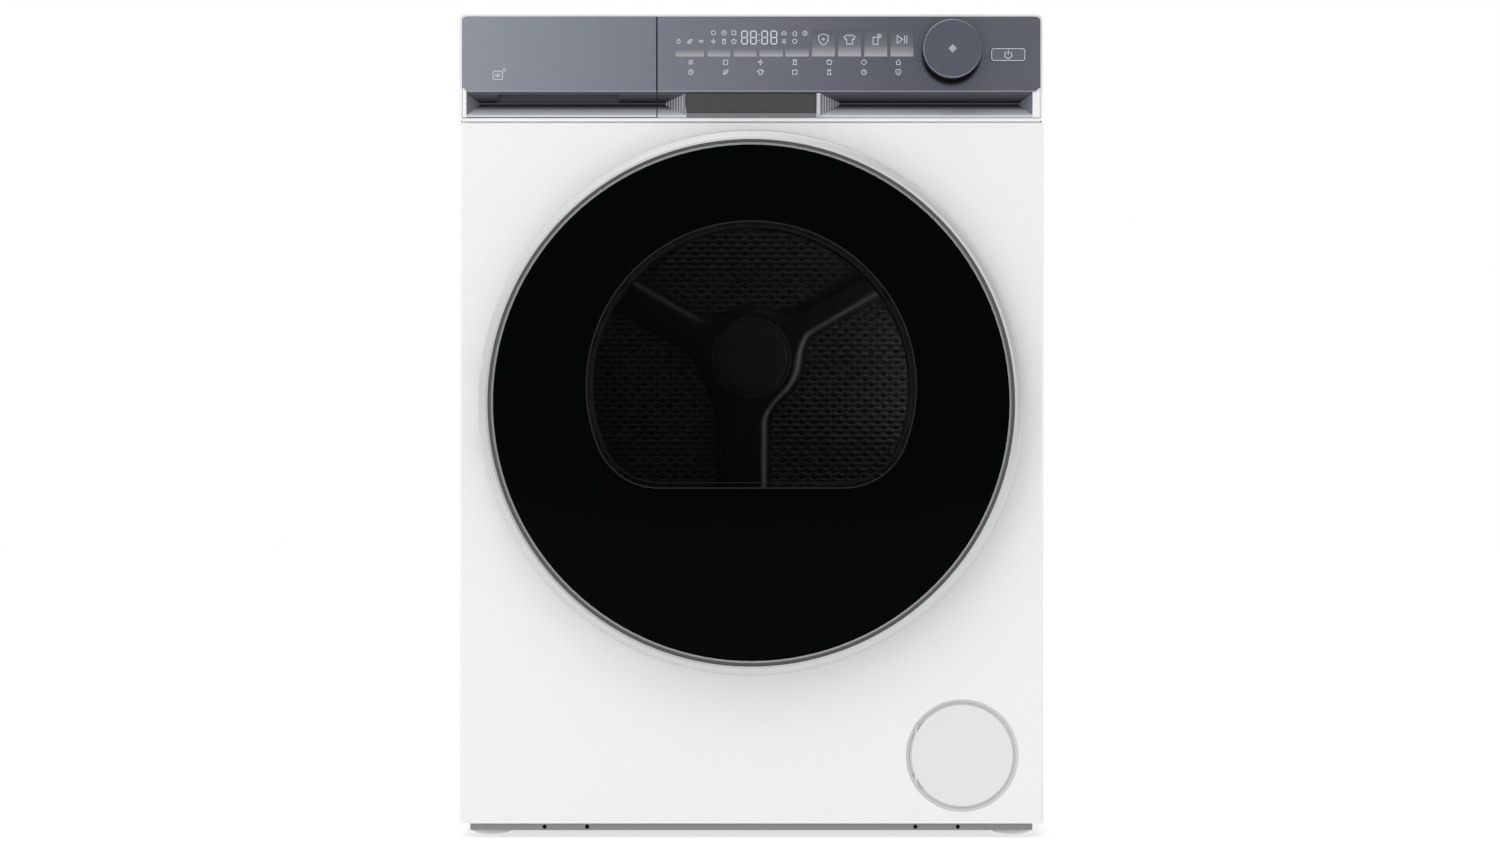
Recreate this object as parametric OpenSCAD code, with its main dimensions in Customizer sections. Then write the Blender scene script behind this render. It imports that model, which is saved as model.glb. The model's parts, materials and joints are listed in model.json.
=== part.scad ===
// Free-standing heat-pump tumble dryer, front-loading, with a round glass door.
// Frame: X to the right seen from the front, Y towards the back, Z up.
// Origin: on the floor, below the middle of the whole machine. Units: millimetres.

/* [Cabinet] */
// Width of the cabinet
width = 600; // [590:1:610]
// Height from the floor to the top of the worktop cover
height = 845; // [840:1:850]
// Distance from the front of the door to the back of the rear duct cover
depth = 650; // [640:1:660]
// Thickness of the sheet-steel side and rear panels
sheet = 1; // [0.8:0.1:1.2]
// Height of the base bar above the floor
base_z = 7.6; // [6:0.2:10]
// Bottom edge of the front panel
panel_z0 = 14.8; // [14:0.2:18]
// Top edge of the front panel
panel_z1 = 733.7; // [730:0.1:736]

/* [Door] */
// Height of the middle of the door
door_z = 446; // [440:1:450]
// Radius of the black outer glass
glass_r = 262; // [255:1:265]
// Outer radius of the door ring
ring_r = 277.5; // [275:0.5:280]
// Radius of the hole in the front panel
door_hole_r = 230; // [225:1:232]

/* [Drum] */
// Height of the drum axis
drum_z = 503; // [500:1:505]
// Outer radius of the drum shell
drum_r = 283; // [280:1:285]
// Sheet thickness of the drum
drum_t = 1.2; // [1:0.1:1.5]
// Half-width of the loading opening
load_r = 167; // [160:1:170]
// Height of the middle of the loading opening's round part
load_z = 463; // [460:1:466]
// Depth of the flat lower edge below that middle
load_drop = 112; // [105:1:118]

/* [Controls] */
// Radius of the programme knob
knob_r = 30; // [28:1:32]
// Sideways place of the knob's axis
knob_x = 205; // [203:1:207]
// Height of the knob's axis
knob_z = 807; // [805:1:809]
// Width of the power button
power_w = 35.6; // [34:0.2:37]
// Height of the power button
power_h = 13.3; // [12:0.1:14]
// Sideways place of the seam between tank drawer and control plate
seam_x = -96.7; // [-98:0.1:-95]

/* [Service flap] */
// Radius of the flap
flap_r = 51.8; // [50:0.2:53]
// Sideways place of the flap's centre
flap_x = 216.3; // [214:0.1:218]
// Height of the flap's centre
flap_z = 84.4; // [83:0.1:86]

/* [Drive] */
// Radius of the motor pulley under the belt
pulley_r = 10; // [9:0.5:11]
// Sideways place of the motor's axis
motor_x = 205; // [200:1:208]
// Height of the motor's axis
motor_z = 120; // [116:1:124]
// Radius of the drum's front support rollers
roller_r = 22; // [20:1:24]

/* [Hidden] */
$fn = 96;
eps = 0.01;

// Levels along Y
y_door = -depth / 2;
y_plate = -293;
y_fascia = -291;
y_panel = -290;
flap_pin_y = -287;
y_frame_back = -262;
y_bulkhead = -235;
y_bulkhead_back = -218;
y_drum0 = -210;
y_drum1 = 240;
y_rear_bulkhead = 252;
y_rear = 312;
y_back = depth / 2;

// Cabinet
half_w = width / 2;
panel_t = 1.2;
panel_return = 20;
cover_z = height - 16;
fascia_half_w = half_w - 1;
fascia_z0 = panel_z1 + 0.8;
fascia_z1 = height - 0.5;
tray_half_w = half_w - 2;
tray_top = 60;
tray_floor = 12;
foot_x = 270;
foot_boss_top = 34;
foot_y = [-245, 270];
stem_r = 5;
run_gap = 0.05;

// Control plate and drawer front
plate_z0 = 765;
plate_z1 = 841.8;
band_z0 = 738.6;
recess_z = [741, 764];
recess_depth = 20;
recess_back_h = 2;
recess_back_top = 755.2;
key_w = 23.7;
key_h = 27;
key_pitch = 26.8;
key_x0 = 73.95;
key_z = 814.5;
power_x = 263.3;
power_z = 803;
centre_half_w = 66.5;

// Water tank
tank_x = [-286.5, -98];
tank_y = [-258, 214];
tank_z = [741.5, 824];
tank_arc_r = 300;
tank_wall = 2;

// Door hinge
hinge_x = -266;
hinge_y = -311;
lug_dz = 40;
lug_h = 10;
lug_r = 6;
pin_r = 4;
latch_x = 241;

// Rollers and belt
roller_angle = 60;
roller_d = drum_r + roller_r + 0.3;
roller_x = roller_d * cos(roller_angle);
roller_z = drum_z - roller_d * sin(roller_angle);
belt_y = 34;
belt_w = 12;
belt_in = 0.5;
belt_t = 2.4;
drive_d = norm([motor_x, motor_z - drum_z]);
drive_angle = atan2(motor_z - drum_z, motor_x);
wrap = acos((drum_r - pulley_r) / drive_d);
run_angle = drive_angle - wrap;
idler_r = 16;
idler_x = 120;
belt_out_drum = drum_r + belt_in + belt_t;
run_start = [belt_out_drum * cos(run_angle), drum_z + belt_out_drum * sin(run_angle)];
run_end = [motor_x + (pulley_r + belt_in + belt_t) * cos(run_angle),
           motor_z + (pulley_r + belt_in + belt_t) * sin(run_angle)];
run_part = (run_end[0] - idler_x) / (run_end[0] - run_start[0]);
idler_touch = run_end + run_part * (run_start - run_end);
idler_c = idler_touch + (idler_r + 0.4) * [cos(run_angle), sin(run_angle)];
arm_pivot = [62, 92];

// Y and Z of the two refrigerant pipes
pipe_runs = [[-110, 160], [-80, 140]];

// ---------- helpers ----------

// Box between two corners
module block(a, b) {
    translate(a) cube(b - a);
}

// Cylinder along Y from y0 to y1, on the axis through x, z
module rod_y(x, z, y0, y1, r) {
    translate([x, y0, z]) rotate([-90, 0, 0]) cylinder(r = r, h = y1 - y0);
}

// Ring along Y
module ring_y(x, z, y0, y1, r_out, r_in) {
    translate([x, y0, z]) rotate([-90, 0, 0]) difference() {
        cylinder(r = r_out, h = y1 - y0);
        translate([0, 0, -1]) cylinder(r = r_in, h = y1 - y0 + 2);
    }
}

// Flat shape drawn in X and Z, raised from y0 to y1
module slab_y(y0, y1) {
    translate([0, y1, 0]) rotate([90, 0, 0]) linear_extrude(height = y1 - y0) children();
}

// Flat shape drawn in X and Y, raised from z0 to z1
module slab_z(z0, z1) {
    translate([0, 0, z0]) linear_extrude(height = z1 - z0) children();
}

// Rectangle between two corners with round corners
module round_rect(a, b, r) {
    union() {
        translate([a[0] + r, a[1]]) square([b[0] - a[0] - 2 * r, b[1] - a[1]]);
        translate([a[0], a[1] + r]) square([b[0] - a[0], b[1] - a[1] - 2 * r]);
        for (x = [a[0] + r, b[0] - r], z = [a[1] + r, b[1] - r])
            translate([x, z]) circle(r = r, $fn = 32);
    }
}

// Points of an arc from angle a0 to a1 round a centre
function arc(c, r, a0, a1, n) =
    [for (i = [0 : n]) c + r * [cos(a0 + (a1 - a0) * i / n), sin(a0 + (a1 - a0) * i / n)]];

// Loading-opening outline: a circle with a flat lower edge and round lower corners
module load_shape(grow) {
    r = load_r + grow;
    drop = load_drop + grow;
    corner = 45 + grow;
    cx = sqrt(pow(r - corner, 2) - pow(drop - corner, 2));
    turn = atan2(corner - drop, cx);
    polygon(concat(
        arc([0, load_z], r, turn, 180 - turn, 60),
        arc([-cx, load_z - drop + corner], corner, 180 - turn, 270, 8),
        arc([cx, load_z - drop + corner], corner, 270, 360 + turn, 8)));
}

// Outline of a belt round the drum and the pulley
module belt_outline(grow) {
    polygon(concat(
        arc([0, drum_z], drum_r + grow, drive_angle + wrap, drive_angle + 360 - wrap, 110),
        arc([motor_x, motor_z], pulley_r + grow, drive_angle - wrap, drive_angle + wrap, 16)));
}

// ---------- cabinet ----------

module base_pan() {
    color("dimgray") difference() {
        union() {
            translate([0, 0, base_z]) linear_extrude(height = 7.2)
                round_rect([-half_w + 11, y_panel + 2], [half_w - 11, y_rear - 2], 6);
            translate([0, 0, panel_z0]) linear_extrude(height = tray_top - panel_z0)
                round_rect([-tray_half_w, y_panel + 4], [tray_half_w, y_rear - 2], 6);
        }
        translate([0, 0, tray_floor]) linear_extrude(height = tray_top)
            round_rect([-tray_half_w + 4, y_panel + 14], [tray_half_w - 4, y_rear - 7], 6);
        for (x = [-foot_x, foot_x], y = foot_y)
            translate([x, y, 0]) cylinder(r = stem_r + run_gap, h = tray_top);
        // Four drain and fixing holes in the front bar
        for (x = [-212, -168.4, 168.4, 212])
            rod_y(x, 11.2, y_panel, y_panel + 10, 2);
        // Notch that the filter well hangs in
        block([flap_x - 64, y_panel, 20], [flap_x + 64, y_panel + 15, tray_top + 1]);
    }
    color("dimgray") for (x = [-foot_x, foot_x], y = foot_y)
        translate([x, y, 11]) difference() {
            cylinder(r = 14, h = foot_boss_top - 11);
            translate([0, 0, -1]) cylinder(r = stem_r + run_gap, h = foot_boss_top);
        }
    // Side wall of the air channel beside the coils
    color("dimgray") difference() {
        block([-126, -222, 11.5], [-123, 28, 180]);
        for (run = pipe_runs) translate([-130, run[0], run[1]]) rotate([0, 90, 0])
            cylinder(r = 6, h = 20);
    }
    // Post that carries the belt tensioner
    color("dimgray") difference() {
        block([arm_pivot[0] - 12, 58, 11.5], [arm_pivot[0] + 12, 74, arm_pivot[1] + 12]);
        rod_y(arm_pivot[0], arm_pivot[1], 50, 80, 5 + run_gap);
    }
}

module side_panel(side) {
    color("white") {
        x_out = side * half_w;
        x_in = side * (half_w - sheet);
        x_lip = side * (half_w - 14);
        y0 = y_panel + panel_return + 0.4;
        block([min(x_out, x_in), y0, 15], [max(x_out, x_in), y_rear, cover_z - 0.2]);
        block([min(x_in, x_lip) - eps, y0, 62], [max(x_in, x_lip) + eps, y0 + sheet, 725]);
        difference() {
            block([min(x_in, x_lip) - eps, y_rear - 1.2, 62],
                  [max(x_in, x_lip) + eps, y_rear - 0.2, cover_z - 0.2]);
            for (z = screw_z) rod_y(side * 292, z, y_rear - 5, y_rear + 1, 2);
        }
    }
}

screw_z = [90, 260, 430, 600, 800];
duct_screw_angles = [0, 45, 90, 135, 180];
duct_screw_r = 229;

module side_panel_left() { side_panel(-1); }
module side_panel_right() { side_panel(1); }

module rear_panel() {
    color("gainsboro") difference() {
        slab_y(y_rear, y_rear + sheet)
            round_rect([-half_w + 0.6, 15], [half_w - 0.6, cover_z - 0.2], 4);
        slab_y(y_rear - 1, y_rear + 2) duct_outline(-8);
        for (x = [-292, 292], z = screw_z) rod_y(x, z, y_rear - 5, y_rear + 5, 2);
        for (a = duct_screw_angles)
            rod_y(duct_screw_r * cos(a), drum_z + duct_screw_r * sin(a), y_rear - 5, y_rear + 5, 2);
        rod_y(gland_x, gland_z, y_rear - 5, y_rear + 5, 10);
        rod_y(spigot_x, spigot_z, y_rear - 5, y_rear + 5, 9);
    }
}

gland_x = -240;
gland_z = 110;
spigot_x = -240;
spigot_z = 180;

// Outline of the rear duct: a disc behind the drum and a shaft down to the fan
module duct_outline(grow) {
    union() {
        translate([0, drum_z]) circle(r = 222 + grow);
        translate([104 - grow, 60 - grow]) square([150 + 2 * grow, 340 + 2 * grow]);
    }
}

module rear_duct_cover() {
    y0 = y_rear + sheet;
    color("silver") difference() {
        union() {
            slab_y(y0, y0 + 1.5) duct_outline(14);
            slab_y(y0, y_back) duct_outline(0);
        }
        slab_y(y0 - 1, y_back - 1.5) duct_outline(-1.5);
        for (a = duct_screw_angles)
            rod_y(duct_screw_r * cos(a), drum_z + duct_screw_r * sin(a), y_rear - 5, y_back, 2);
    }
}

module top_cover() {
    color("white") difference() {
        translate([0, 0, cover_z]) linear_extrude(height = height - cover_z)
            round_rect([-half_w, y_frame_back + 0.3], [half_w, y_rear + sheet], 5);
        translate([0, 0, cover_z - 1]) linear_extrude(height = 13)
            round_rect([-half_w + 12, y_frame_back + 12], [half_w - 12, y_rear - 12], 5);
    }
}

module front_panel() {
    color("white") difference() {
        union() {
            translate([0, 0, panel_z0]) linear_extrude(height = panel_z1 - panel_z0) difference() {
                round_rect([-half_w, y_panel], [half_w, y_panel + 2 * panel_return], 3.5);
                translate([-half_w + panel_t, y_panel + panel_t])
                    square([width - 2 * panel_t, 3 * panel_return]);
                translate([-half_w - 1, y_panel + panel_return])
                    square([width + 2, 2 * panel_return]);
            }
            block([-half_w + 1, y_panel + 1, panel_z0], [half_w - 1, y_panel + 3.7, panel_z0 + panel_t]);
            block([-half_w + 1, y_panel + 1, panel_z1 - panel_t], [half_w - 1, y_panel + 12, panel_z1]);
        }
        rod_y(0, door_z, y_panel - 5, y_panel + 20, door_hole_r);
        rod_y(flap_x, flap_z, y_panel - 5, y_panel + 20, flap_r + 6);
        for (s = [-1, 1])
            block([hinge_x - 8, y_panel - 1, door_z + s * lug_dz - 7],
                  [hinge_x + 8, y_panel + 4, door_z + s * lug_dz + 7]);
        block([latch_x - 7, y_panel - 1, door_z - 11], [latch_x + 11, y_panel + 4, door_z + 11]);
    }
}

// Outline of the front bulkhead, smaller by inset
module bulkhead_outline(inset) {
    union() {
        translate([-half_w + 6 + inset, 190 + inset])
            square([width - 12 - 2 * inset, 500 - 2 * inset]);
        translate([0, drum_z]) circle(r = 294.5 - inset);
    }
}

module front_bulkhead() {
    color("lightgray") difference() {
        union() {
            slab_y(y_bulkhead, y_bulkhead + 4) bulkhead_outline(0);
            slab_y(y_bulkhead + 4 - eps, y_bulkhead_back) difference() {
                bulkhead_outline(0);
                bulkhead_outline(3);
            }
            slab_y(y_bulkhead + 1, y_bulkhead_back) load_shape(3.5);
            // Back ring and the lip that carries the felt
            slab_y(y_bulkhead_back - 3, y_bulkhead_back) translate([0, drum_z]) circle(r = 262);
            ring_y(0, drum_z, y_bulkhead_back - 1, -190, 262, 259);
            // Collar round the door's plug
            ring_y(0, door_z, y_panel + 2, y_bulkhead + 1, 229.4, 226);
            // Guide box of the lint filter
            block([-86, y_bulkhead + 3, 186], [86, y_bulkhead_back - 1, 300]);
            for (s = [-1, 1]) rod_y(s * roller_x, roller_z, y_bulkhead + 3, -207, 11);
        }
        slab_y(y_bulkhead - 2, y_bulkhead_back + 3) load_shape(0);
        block([-82.2, -231, 189], [82.2, -221.4, 370]);
        for (s = [-1, 1]) rod_y(s * roller_x, roller_z, -226, -200, 5.02);
    }
}

module rear_bulkhead() {
    color("silver") difference() {
        union() {
            slab_y(y_rear_bulkhead, y_rear_bulkhead + 2)
                round_rect([-292, 208], [292, 798], 20);
            rod_y(0, drum_z, y_rear_bulkhead - 4, y_rear_bulkhead + 26, 24);
        }
        rod_y(0, drum_z, y_rear_bulkhead - 9, y_rear_bulkhead + 30, 17);
        // Three air windows between the spokes
        for (a = [30, 150, 270])
            translate([0, y_rear_bulkhead + 4, drum_z]) rotate([90, 0, 0])
                linear_extrude(height = 8) polygon(concat(
                    arc([0, 0], 215, a - 48, a + 48, 24), arc([0, 0], 60, a + 34, a - 34, 12)));
    }
}

module fascia_frame() {
    color("white") difference() {
        union() {
            slab_y(y_fascia, y_frame_back) difference() {
                round_rect([-fascia_half_w, fascia_z0], [fascia_half_w, fascia_z1], 5);
                translate([-half_w + 3.6, 738]) square([width - 7.2, plate_z1 + 0.4 - 738]);
            }
            block([-half_w + 3, y_frame_back - 2, 737], [half_w - 3, y_frame_back, 843]);
        }
        block([-half_w + 9, y_frame_back - 5, 739.5], [seam_x - 0.6, y_frame_back + 1, 827]);
        block([-60, y_frame_back - 5, 800], [240, y_frame_back + 1, 830]);
    }
}

// Face outline of the slate plate between two X places, with one rounded top
// corner and one cut lower corner on its outer side
module plate_outline(x_seam, x_outer) {
    s = sign(x_outer - x_seam);
    top_r = 4;
    cut = 5;
    polygon(concat(
        [[x_seam, plate_z0], [x_outer - s * cut, plate_z0], [x_outer, plate_z0 + cut]],
        [for (i = [0 : 6]) [x_outer - s * top_r + s * top_r * cos(15 * i),
                            plate_z1 - top_r + top_r * sin(15 * i)]],
        [[x_seam, plate_z1]]));
}

// Grip hollow with the given plan: level roof, upright back, floor sloping down to the front
module scoop(plan) {
    back = y_plate + recess_depth;
    intersection() {
        slab_z(recess_z[0] - 1, recess_z[1] + 1) polygon(plan);
        translate([-half_w, 0, 0]) rotate([90, 0, 90]) linear_extrude(height = width) polygon([
            [y_plate - 3, recess_z[1]], [y_plate + 1, recess_z[1]], [back, recess_back_top],
            [back, recess_back_top - recess_back_h],
            [y_plate + 1.5, recess_z[0]], [y_plate - 3, recess_z[0]]]);
    }
}

module control_plate() {
    x0 = seam_x + 0.5;
    x1 = half_w - 4;
    color("slategray") difference() {
        union() {
            slab_y(y_plate, y_plate + 3) plate_outline(x0, x1);
            block([x0, y_plate + 2, band_z0], [x1 - 1, -268, 768]);
            block([x0, y_plate + 2, 766], [x0 + 2, -268, plate_z1 - 1]);
        }
        // Grip recess under the right half of the plate
        scoop([[71, y_plate - 2], [288, y_plate - 2], [288, y_plate + 2],
               [276, y_plate + recess_depth + 1], [92, y_plate + recess_depth + 1],
               [71, y_plate + 2]]);
        // End of the left-hand recess that runs on past the drawer
        scoop([[x0 - 1, y_plate - 2], [-67.6, y_plate - 2], [-67.6, y_plate + 2],
               [-90, y_plate + recess_depth + 1], [x0 - 1, y_plate + recess_depth + 1]]);
        // Seat of the centre plate
        block([-centre_half_w - 0.2, y_plate - 2, recess_z[0] + 2],
              [centre_half_w + 0.2, y_plate + 5, recess_z[1]]);
        rod_y(knob_x, knob_z, y_plate - 2, -289, 3.05);
        slab_y(y_plate - 2, -289) round_rect(
            [power_x - power_w / 2 - 0.3, power_z - power_h / 2 - 0.3],
            [power_x + power_w / 2 + 0.3, power_z + power_h / 2 + 0.3], 3);
        for (i = [0 : 3])
            block([key_x0 + i * key_pitch - key_w / 2 - 0.1, y_plate - 1, key_z - key_h / 2 - 0.1],
                  [key_x0 + i * key_pitch + key_w / 2 + 0.1, y_plate + 1, key_z + key_h / 2 + 0.1]);
    }
}

module centre_plate() {
    color("darkolivegreen") slab_y(y_plate + 1.5, y_plate + 5)
        round_rect([-centre_half_w, recess_z[0] + 2.2], [centre_half_w, recess_z[1] - 0.6], 1);
}

module touch_keys() {
    color("lightgray") for (i = [0 : 3])
        block([key_x0 + i * key_pitch - key_w / 2, y_plate - 0.15, key_z - key_h / 2],
              [key_x0 + i * key_pitch + key_w / 2, y_plate + 1, key_z + key_h / 2]);
}

module control_board() {
    color("darkgreen") {
        block([-90, -280, 772], [290, -278.4, 838]);
        // Display module
        block([-14, -289.6, 808], [32, -279.9, 833]);
        // Encoder under the knob
        rod_y(knob_x, knob_z, -286, -279.9, 9);
        // Switch under the power button
        block([power_x - 4, -286.4, power_z - 4], [power_x + 4, -279.9, power_z + 4]);
        // Plug socket for the cabinet loom
        block([-80, -278.5, 790], [-50, -268, 802]);
    }
}

module tank_housing() {
    color("lightgray") difference() {
        block([-289.5, y_frame_back + 1, 738.4], [-94.4, 226, 827]);
        difference() {
            block([-288, y_frame_back - 1, 739.9], [-96, 224.5, 830]);
            rod_y(0, drum_z, -300, 300, 298);
        }
        rod_y(0, drum_z, -300, 300, 296.5);
    }
}

module door_seal() {
    color("dimgray") ring_y(0, door_z, -249.9, y_bulkhead, 211, 197);
}

module drum_felt() {
    color("gray") ring_y(0, drum_z, -214, -194, 267.6, 262);
}

module roller_axles() {
    color("silver") for (s = [-1, 1]) {
        rod_y(s * roller_x, roller_z, -226, -178, 5);
        rod_y(s * roller_x, roller_z, -182, -178, 8);
    }
}

module shaft_bush() {
    color("goldenrod") ring_y(0, drum_z, y_rear_bulkhead - 2, y_rear_bulkhead + 24, 17, 12.05);
}

// ---------- drive, fan and heat pump in the base ----------

module motor_stator() {
    color("gray") difference() {
        union() {
            rod_y(motor_x, motor_z, 62, 182, 52);
            for (y = [74, 158]) block([motor_x - 38, y, tray_floor], [motor_x + 38, y + 10, motor_z - 20]);
            block([motor_x - 46, 74, tray_floor], [motor_x + 46, 168, 16]);
        }
        rod_y(motor_x, motor_z, 67, 177, 36);
        rod_y(motor_x, motor_z, 50, 190, 6 + run_gap);
    }
}

module motor_rotor() {
    color("silver") {
        rod_y(motor_x, motor_z, 28, 240, 6);
        rod_y(motor_x, motor_z, 70, 174, 35.4);
        rod_y(motor_x, motor_z, 30, 33, 14);
        rod_y(motor_x, motor_z, 33, 47, pulley_r);
        rod_y(motor_x, motor_z, 47, 50, 14);
    }
}

module blower_wheel() {
    blades = 18;
    color("dimgray") difference() {
        union() {
            rod_y(motor_x, motor_z, 206, 238, 14);
            rod_y(motor_x, motor_z, 235, 238, 70);
            ring_y(motor_x, motor_z, 206, 208.5, 70, 54);
            for (i = [0 : blades - 1])
                translate([motor_x, 206, motor_z]) rotate([0, i * 360 / blades, 0])
                    translate([50, 0, -6]) rotate([0, 35, 0]) cube([20, 30, 1.6]);
        }
        rod_y(motor_x, motor_z, 200, 245, 6);
    }
}

module fan_housing() {
    color("lightgray") difference() {
        union() {
            rod_y(motor_x, motor_z, 199, 249, 84);
            block([motor_x - 30, 199, tray_floor], [motor_x + 30, 249, 50]);
            block([motor_x - 50, 247, motor_z + 5], [motor_x + 38, y_rear - 1, motor_z + 70]);
        }
        rod_y(motor_x, motor_z, 202, 246, 81);
        rod_y(motor_x, motor_z, 190, 205, 48);
        block([motor_x - 47, 240, motor_z + 8], [motor_x + 35, y_rear + 1, motor_z + 67]);
    }
}

module drive_belt() {
    color("black") slab_y(belt_y, belt_y + belt_w) difference() {
        belt_outline(belt_in + belt_t);
        belt_outline(belt_in);
    }
}

module idler_arm() {
    reach = norm(idler_c - arm_pivot);
    swing = atan2(idler_c[1] - arm_pivot[1], idler_c[0] - arm_pivot[0]);
    color("silver") {
        translate([arm_pivot[0], 49.5, arm_pivot[1]]) rotate([0, -swing, 0])
            translate([0, 0, -6]) cube([reach, 3, 12]);
        rod_y(arm_pivot[0], arm_pivot[1], 49, 53, 10);
        rod_y(idler_c[0], idler_c[1], 49, 53, 9);
        rod_y(arm_pivot[0], arm_pivot[1], 52, 78, 5);
        rod_y(idler_c[0], idler_c[1], 30, 50, 4);
    }
}

module idler_pulley() {
    color("black") difference() {
        union() {
            rod_y(idler_c[0], idler_c[1], 32, 48, idler_r);
            rod_y(idler_c[0], idler_c[1], 31.4, 48.6, 8);
        }
        rod_y(idler_c[0], idler_c[1], 25, 55, 4 + run_gap);
    }
}

module support_roller(side) {
    color("dimgray") difference() {
        union() {
            rod_y(side * roller_x, roller_z, -202, -186, roller_r);
            rod_y(side * roller_x, roller_z, -204, -184, 9);
        }
        rod_y(side * roller_x, roller_z, -210, -180, 5 + run_gap);
    }
}

module support_roller_left() { support_roller(-1); }
module support_roller_right() { support_roller(1); }

module compressor() {
    x = 185;
    y = -95;
    color("black") {
        translate([x, y, 0]) rotate_extrude() polygon(concat(
            [[0, 26]], arc([46, 42], 16, 270, 360, 8), arc([38, 178], 24, 0, 90, 8), [[0, 202]]));
        block([x - 60, y - 60, tray_floor], [x + 60, y + 60, 15]);
        for (a = [0 : 90 : 270]) translate([x, y, tray_floor]) rotate([0, 0, 45 + a])
            translate([52, 0, 0]) cylinder(r = 8, h = 40);
        // Refrigerant pipes to the two coils
        for (run = pipe_runs)
            translate([-132, run[0], run[1]]) rotate([0, 90, 0]) cylinder(r = 4, h = 270);
    }
}

// Finned coil across the air channel
module coil(y0, y1) {
    fins = 16;
    x0 = -284;
    pitch = 9.8;
    for (i = [0 : fins - 1])
        block([x0 + i * pitch, y0, 20], [x0 + i * pitch + 1.2, y1, 178]);
    for (y = [y0 + 25, y1 - 25], z = [45, 85, 125, 165])
        translate([x0 - 3, y, z]) rotate([0, 90, 0]) cylinder(r = 5, h = fins * pitch - 2);
    for (z = [20, 176]) block([x0, y0, z], [x0 + (fins - 1) * pitch + 1, y1, z + 2]);
}

module evaporator() { color("silver") coil(-212, -116); }
module condenser() { color("peru") coil(-74, 22); }

module condensate_pump() {
    color("dimgray") {
        translate([-200, 190, tray_floor]) cylinder(r = 30, h = 42);
        translate([-200, 190, 53]) cylinder(r = 20, h = 34);
        translate([-200, 190, 30]) rotate([0, 90, 0]) cylinder(r = 7, h = 52);
        translate([-200, 190, 86]) cylinder(r = 5, h = 22);
    }
}

module drain_spigot() {
    color("gray") difference() {
        union() {
            rod_y(spigot_x, spigot_z, y_rear - 14, y_rear + 12.6, 6);
            rod_y(spigot_x, spigot_z, y_rear - 14, y_rear - 0.1, 13);
            rod_y(spigot_x, spigot_z, y_rear - 0.2, y_rear + 1, 8.9);
        }
        rod_y(spigot_x, spigot_z, y_rear - 20, y_rear + 15, 4);
    }
}

module cable_gland() {
    color("dimgray") difference() {
        union() {
            rod_y(gland_x, gland_z, y_rear - 16, y_rear - 0.1, 14);
            rod_y(gland_x, gland_z, y_rear - 0.2, y_rear + 1, 9.9);
            rod_y(gland_x, gland_z, y_rear + 1, y_rear + 8, 14);
        }
        rod_y(gland_x, gland_z, y_rear - 20, y_rear + 15, 5);
    }
}

module door_lock() {
    color("white") difference() {
        block([latch_x - 10, -288.4, door_z - 28], [latch_x + 22, -258, door_z + 28]);
        block([latch_x - 7.5, -290, door_z - 12], [latch_x + 12, -264, door_z + 12]);
    }
}

module filter_well() {
    x_pivot = flap_x - 47;
    color("gainsboro") difference() {
        union() {
            ring_y(flap_x, flap_z, -288.6, -240, 60.5, 57.8);
            ring_y(flap_x, flap_z, -286.5, -281, 58.5, 52.5);
            rod_y(flap_x, flap_z, -243, -240, 60.5);
            rod_y(flap_x, flap_z, -241, -200, 30);
        }
        rod_y(flap_x, flap_z, -250, -203, 26.3);
        block([x_pivot - 20, -287.6, flap_z - 28], [x_pivot + 6, -276, flap_z + 28]);
        translate([x_pivot, flap_pin_y, flap_z - 33]) cylinder(r = 1.25, h = 66);
    }
    // Bearings of the flap's pin
    color("gainsboro") difference() {
        for (s = [-1, 1])
            block([x_pivot - 12.5, -289, flap_z + s * 30.3 - 2.3],
                  [x_pivot + 2.1, -281, flap_z + s * 30.3 + 2.3]);
        translate([x_pivot, flap_pin_y, flap_z - 33]) cylinder(r = 1.25, h = 66);
        ring_y(flap_x, flap_z, -290, -270, 75, 58.2);
        ring_y(flap_x, flap_z, -290, -288.6, 75, 57.5);
    }
}

module panel_screws() {
    color("silver") {
        for (x = [-292, 292], z = screw_z) {
            rod_y(x, z, y_rear - 6, y_rear + 1.2, 1.8);
            rod_y(x, z, y_rear + sheet, y_rear + sheet + 2.4, 4);
        }
        for (a = duct_screw_angles) {
            rod_y(duct_screw_r * cos(a), drum_z + duct_screw_r * sin(a), y_rear - 6, y_rear + 3, 1.8);
            rod_y(duct_screw_r * cos(a), drum_z + duct_screw_r * sin(a),
                  y_rear + sheet + 1.5, y_rear + sheet + 4, 4);
        }
    }
}

// ---------- door ----------

module hinge_bracket() {
    color("silver") {
        block([-291, y_panel + panel_t + 0.1, door_z - 66], [-233, -285, door_z + 66]);
        for (s = [-1, 1]) translate([0, 0, door_z + s * lug_dz - lug_h / 2]) difference() {
            union() {
                block([hinge_x - lug_r, hinge_y, 0], [hinge_x + lug_r, -286, lug_h]);
                translate([hinge_x, hinge_y, 0]) cylinder(r = lug_r, h = lug_h);
            }
            translate([hinge_x, hinge_y, -1]) cylinder(r = pin_r + run_gap, h = lug_h + 2);
        }
    }
}

module door_hinge() {
    color("silver") {
        translate([hinge_x, hinge_y, door_z - lug_dz + 6]) cylinder(r = lug_r, h = 2 * lug_dz - 12);
        translate([hinge_x, hinge_y, door_z - lug_dz - 6]) cylinder(r = pin_r, h = 2 * lug_dz + 12);
        block([hinge_x, hinge_y - 2, door_z - 33], [-222, hinge_y + 3, door_z + 33]);
    }
}

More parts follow.
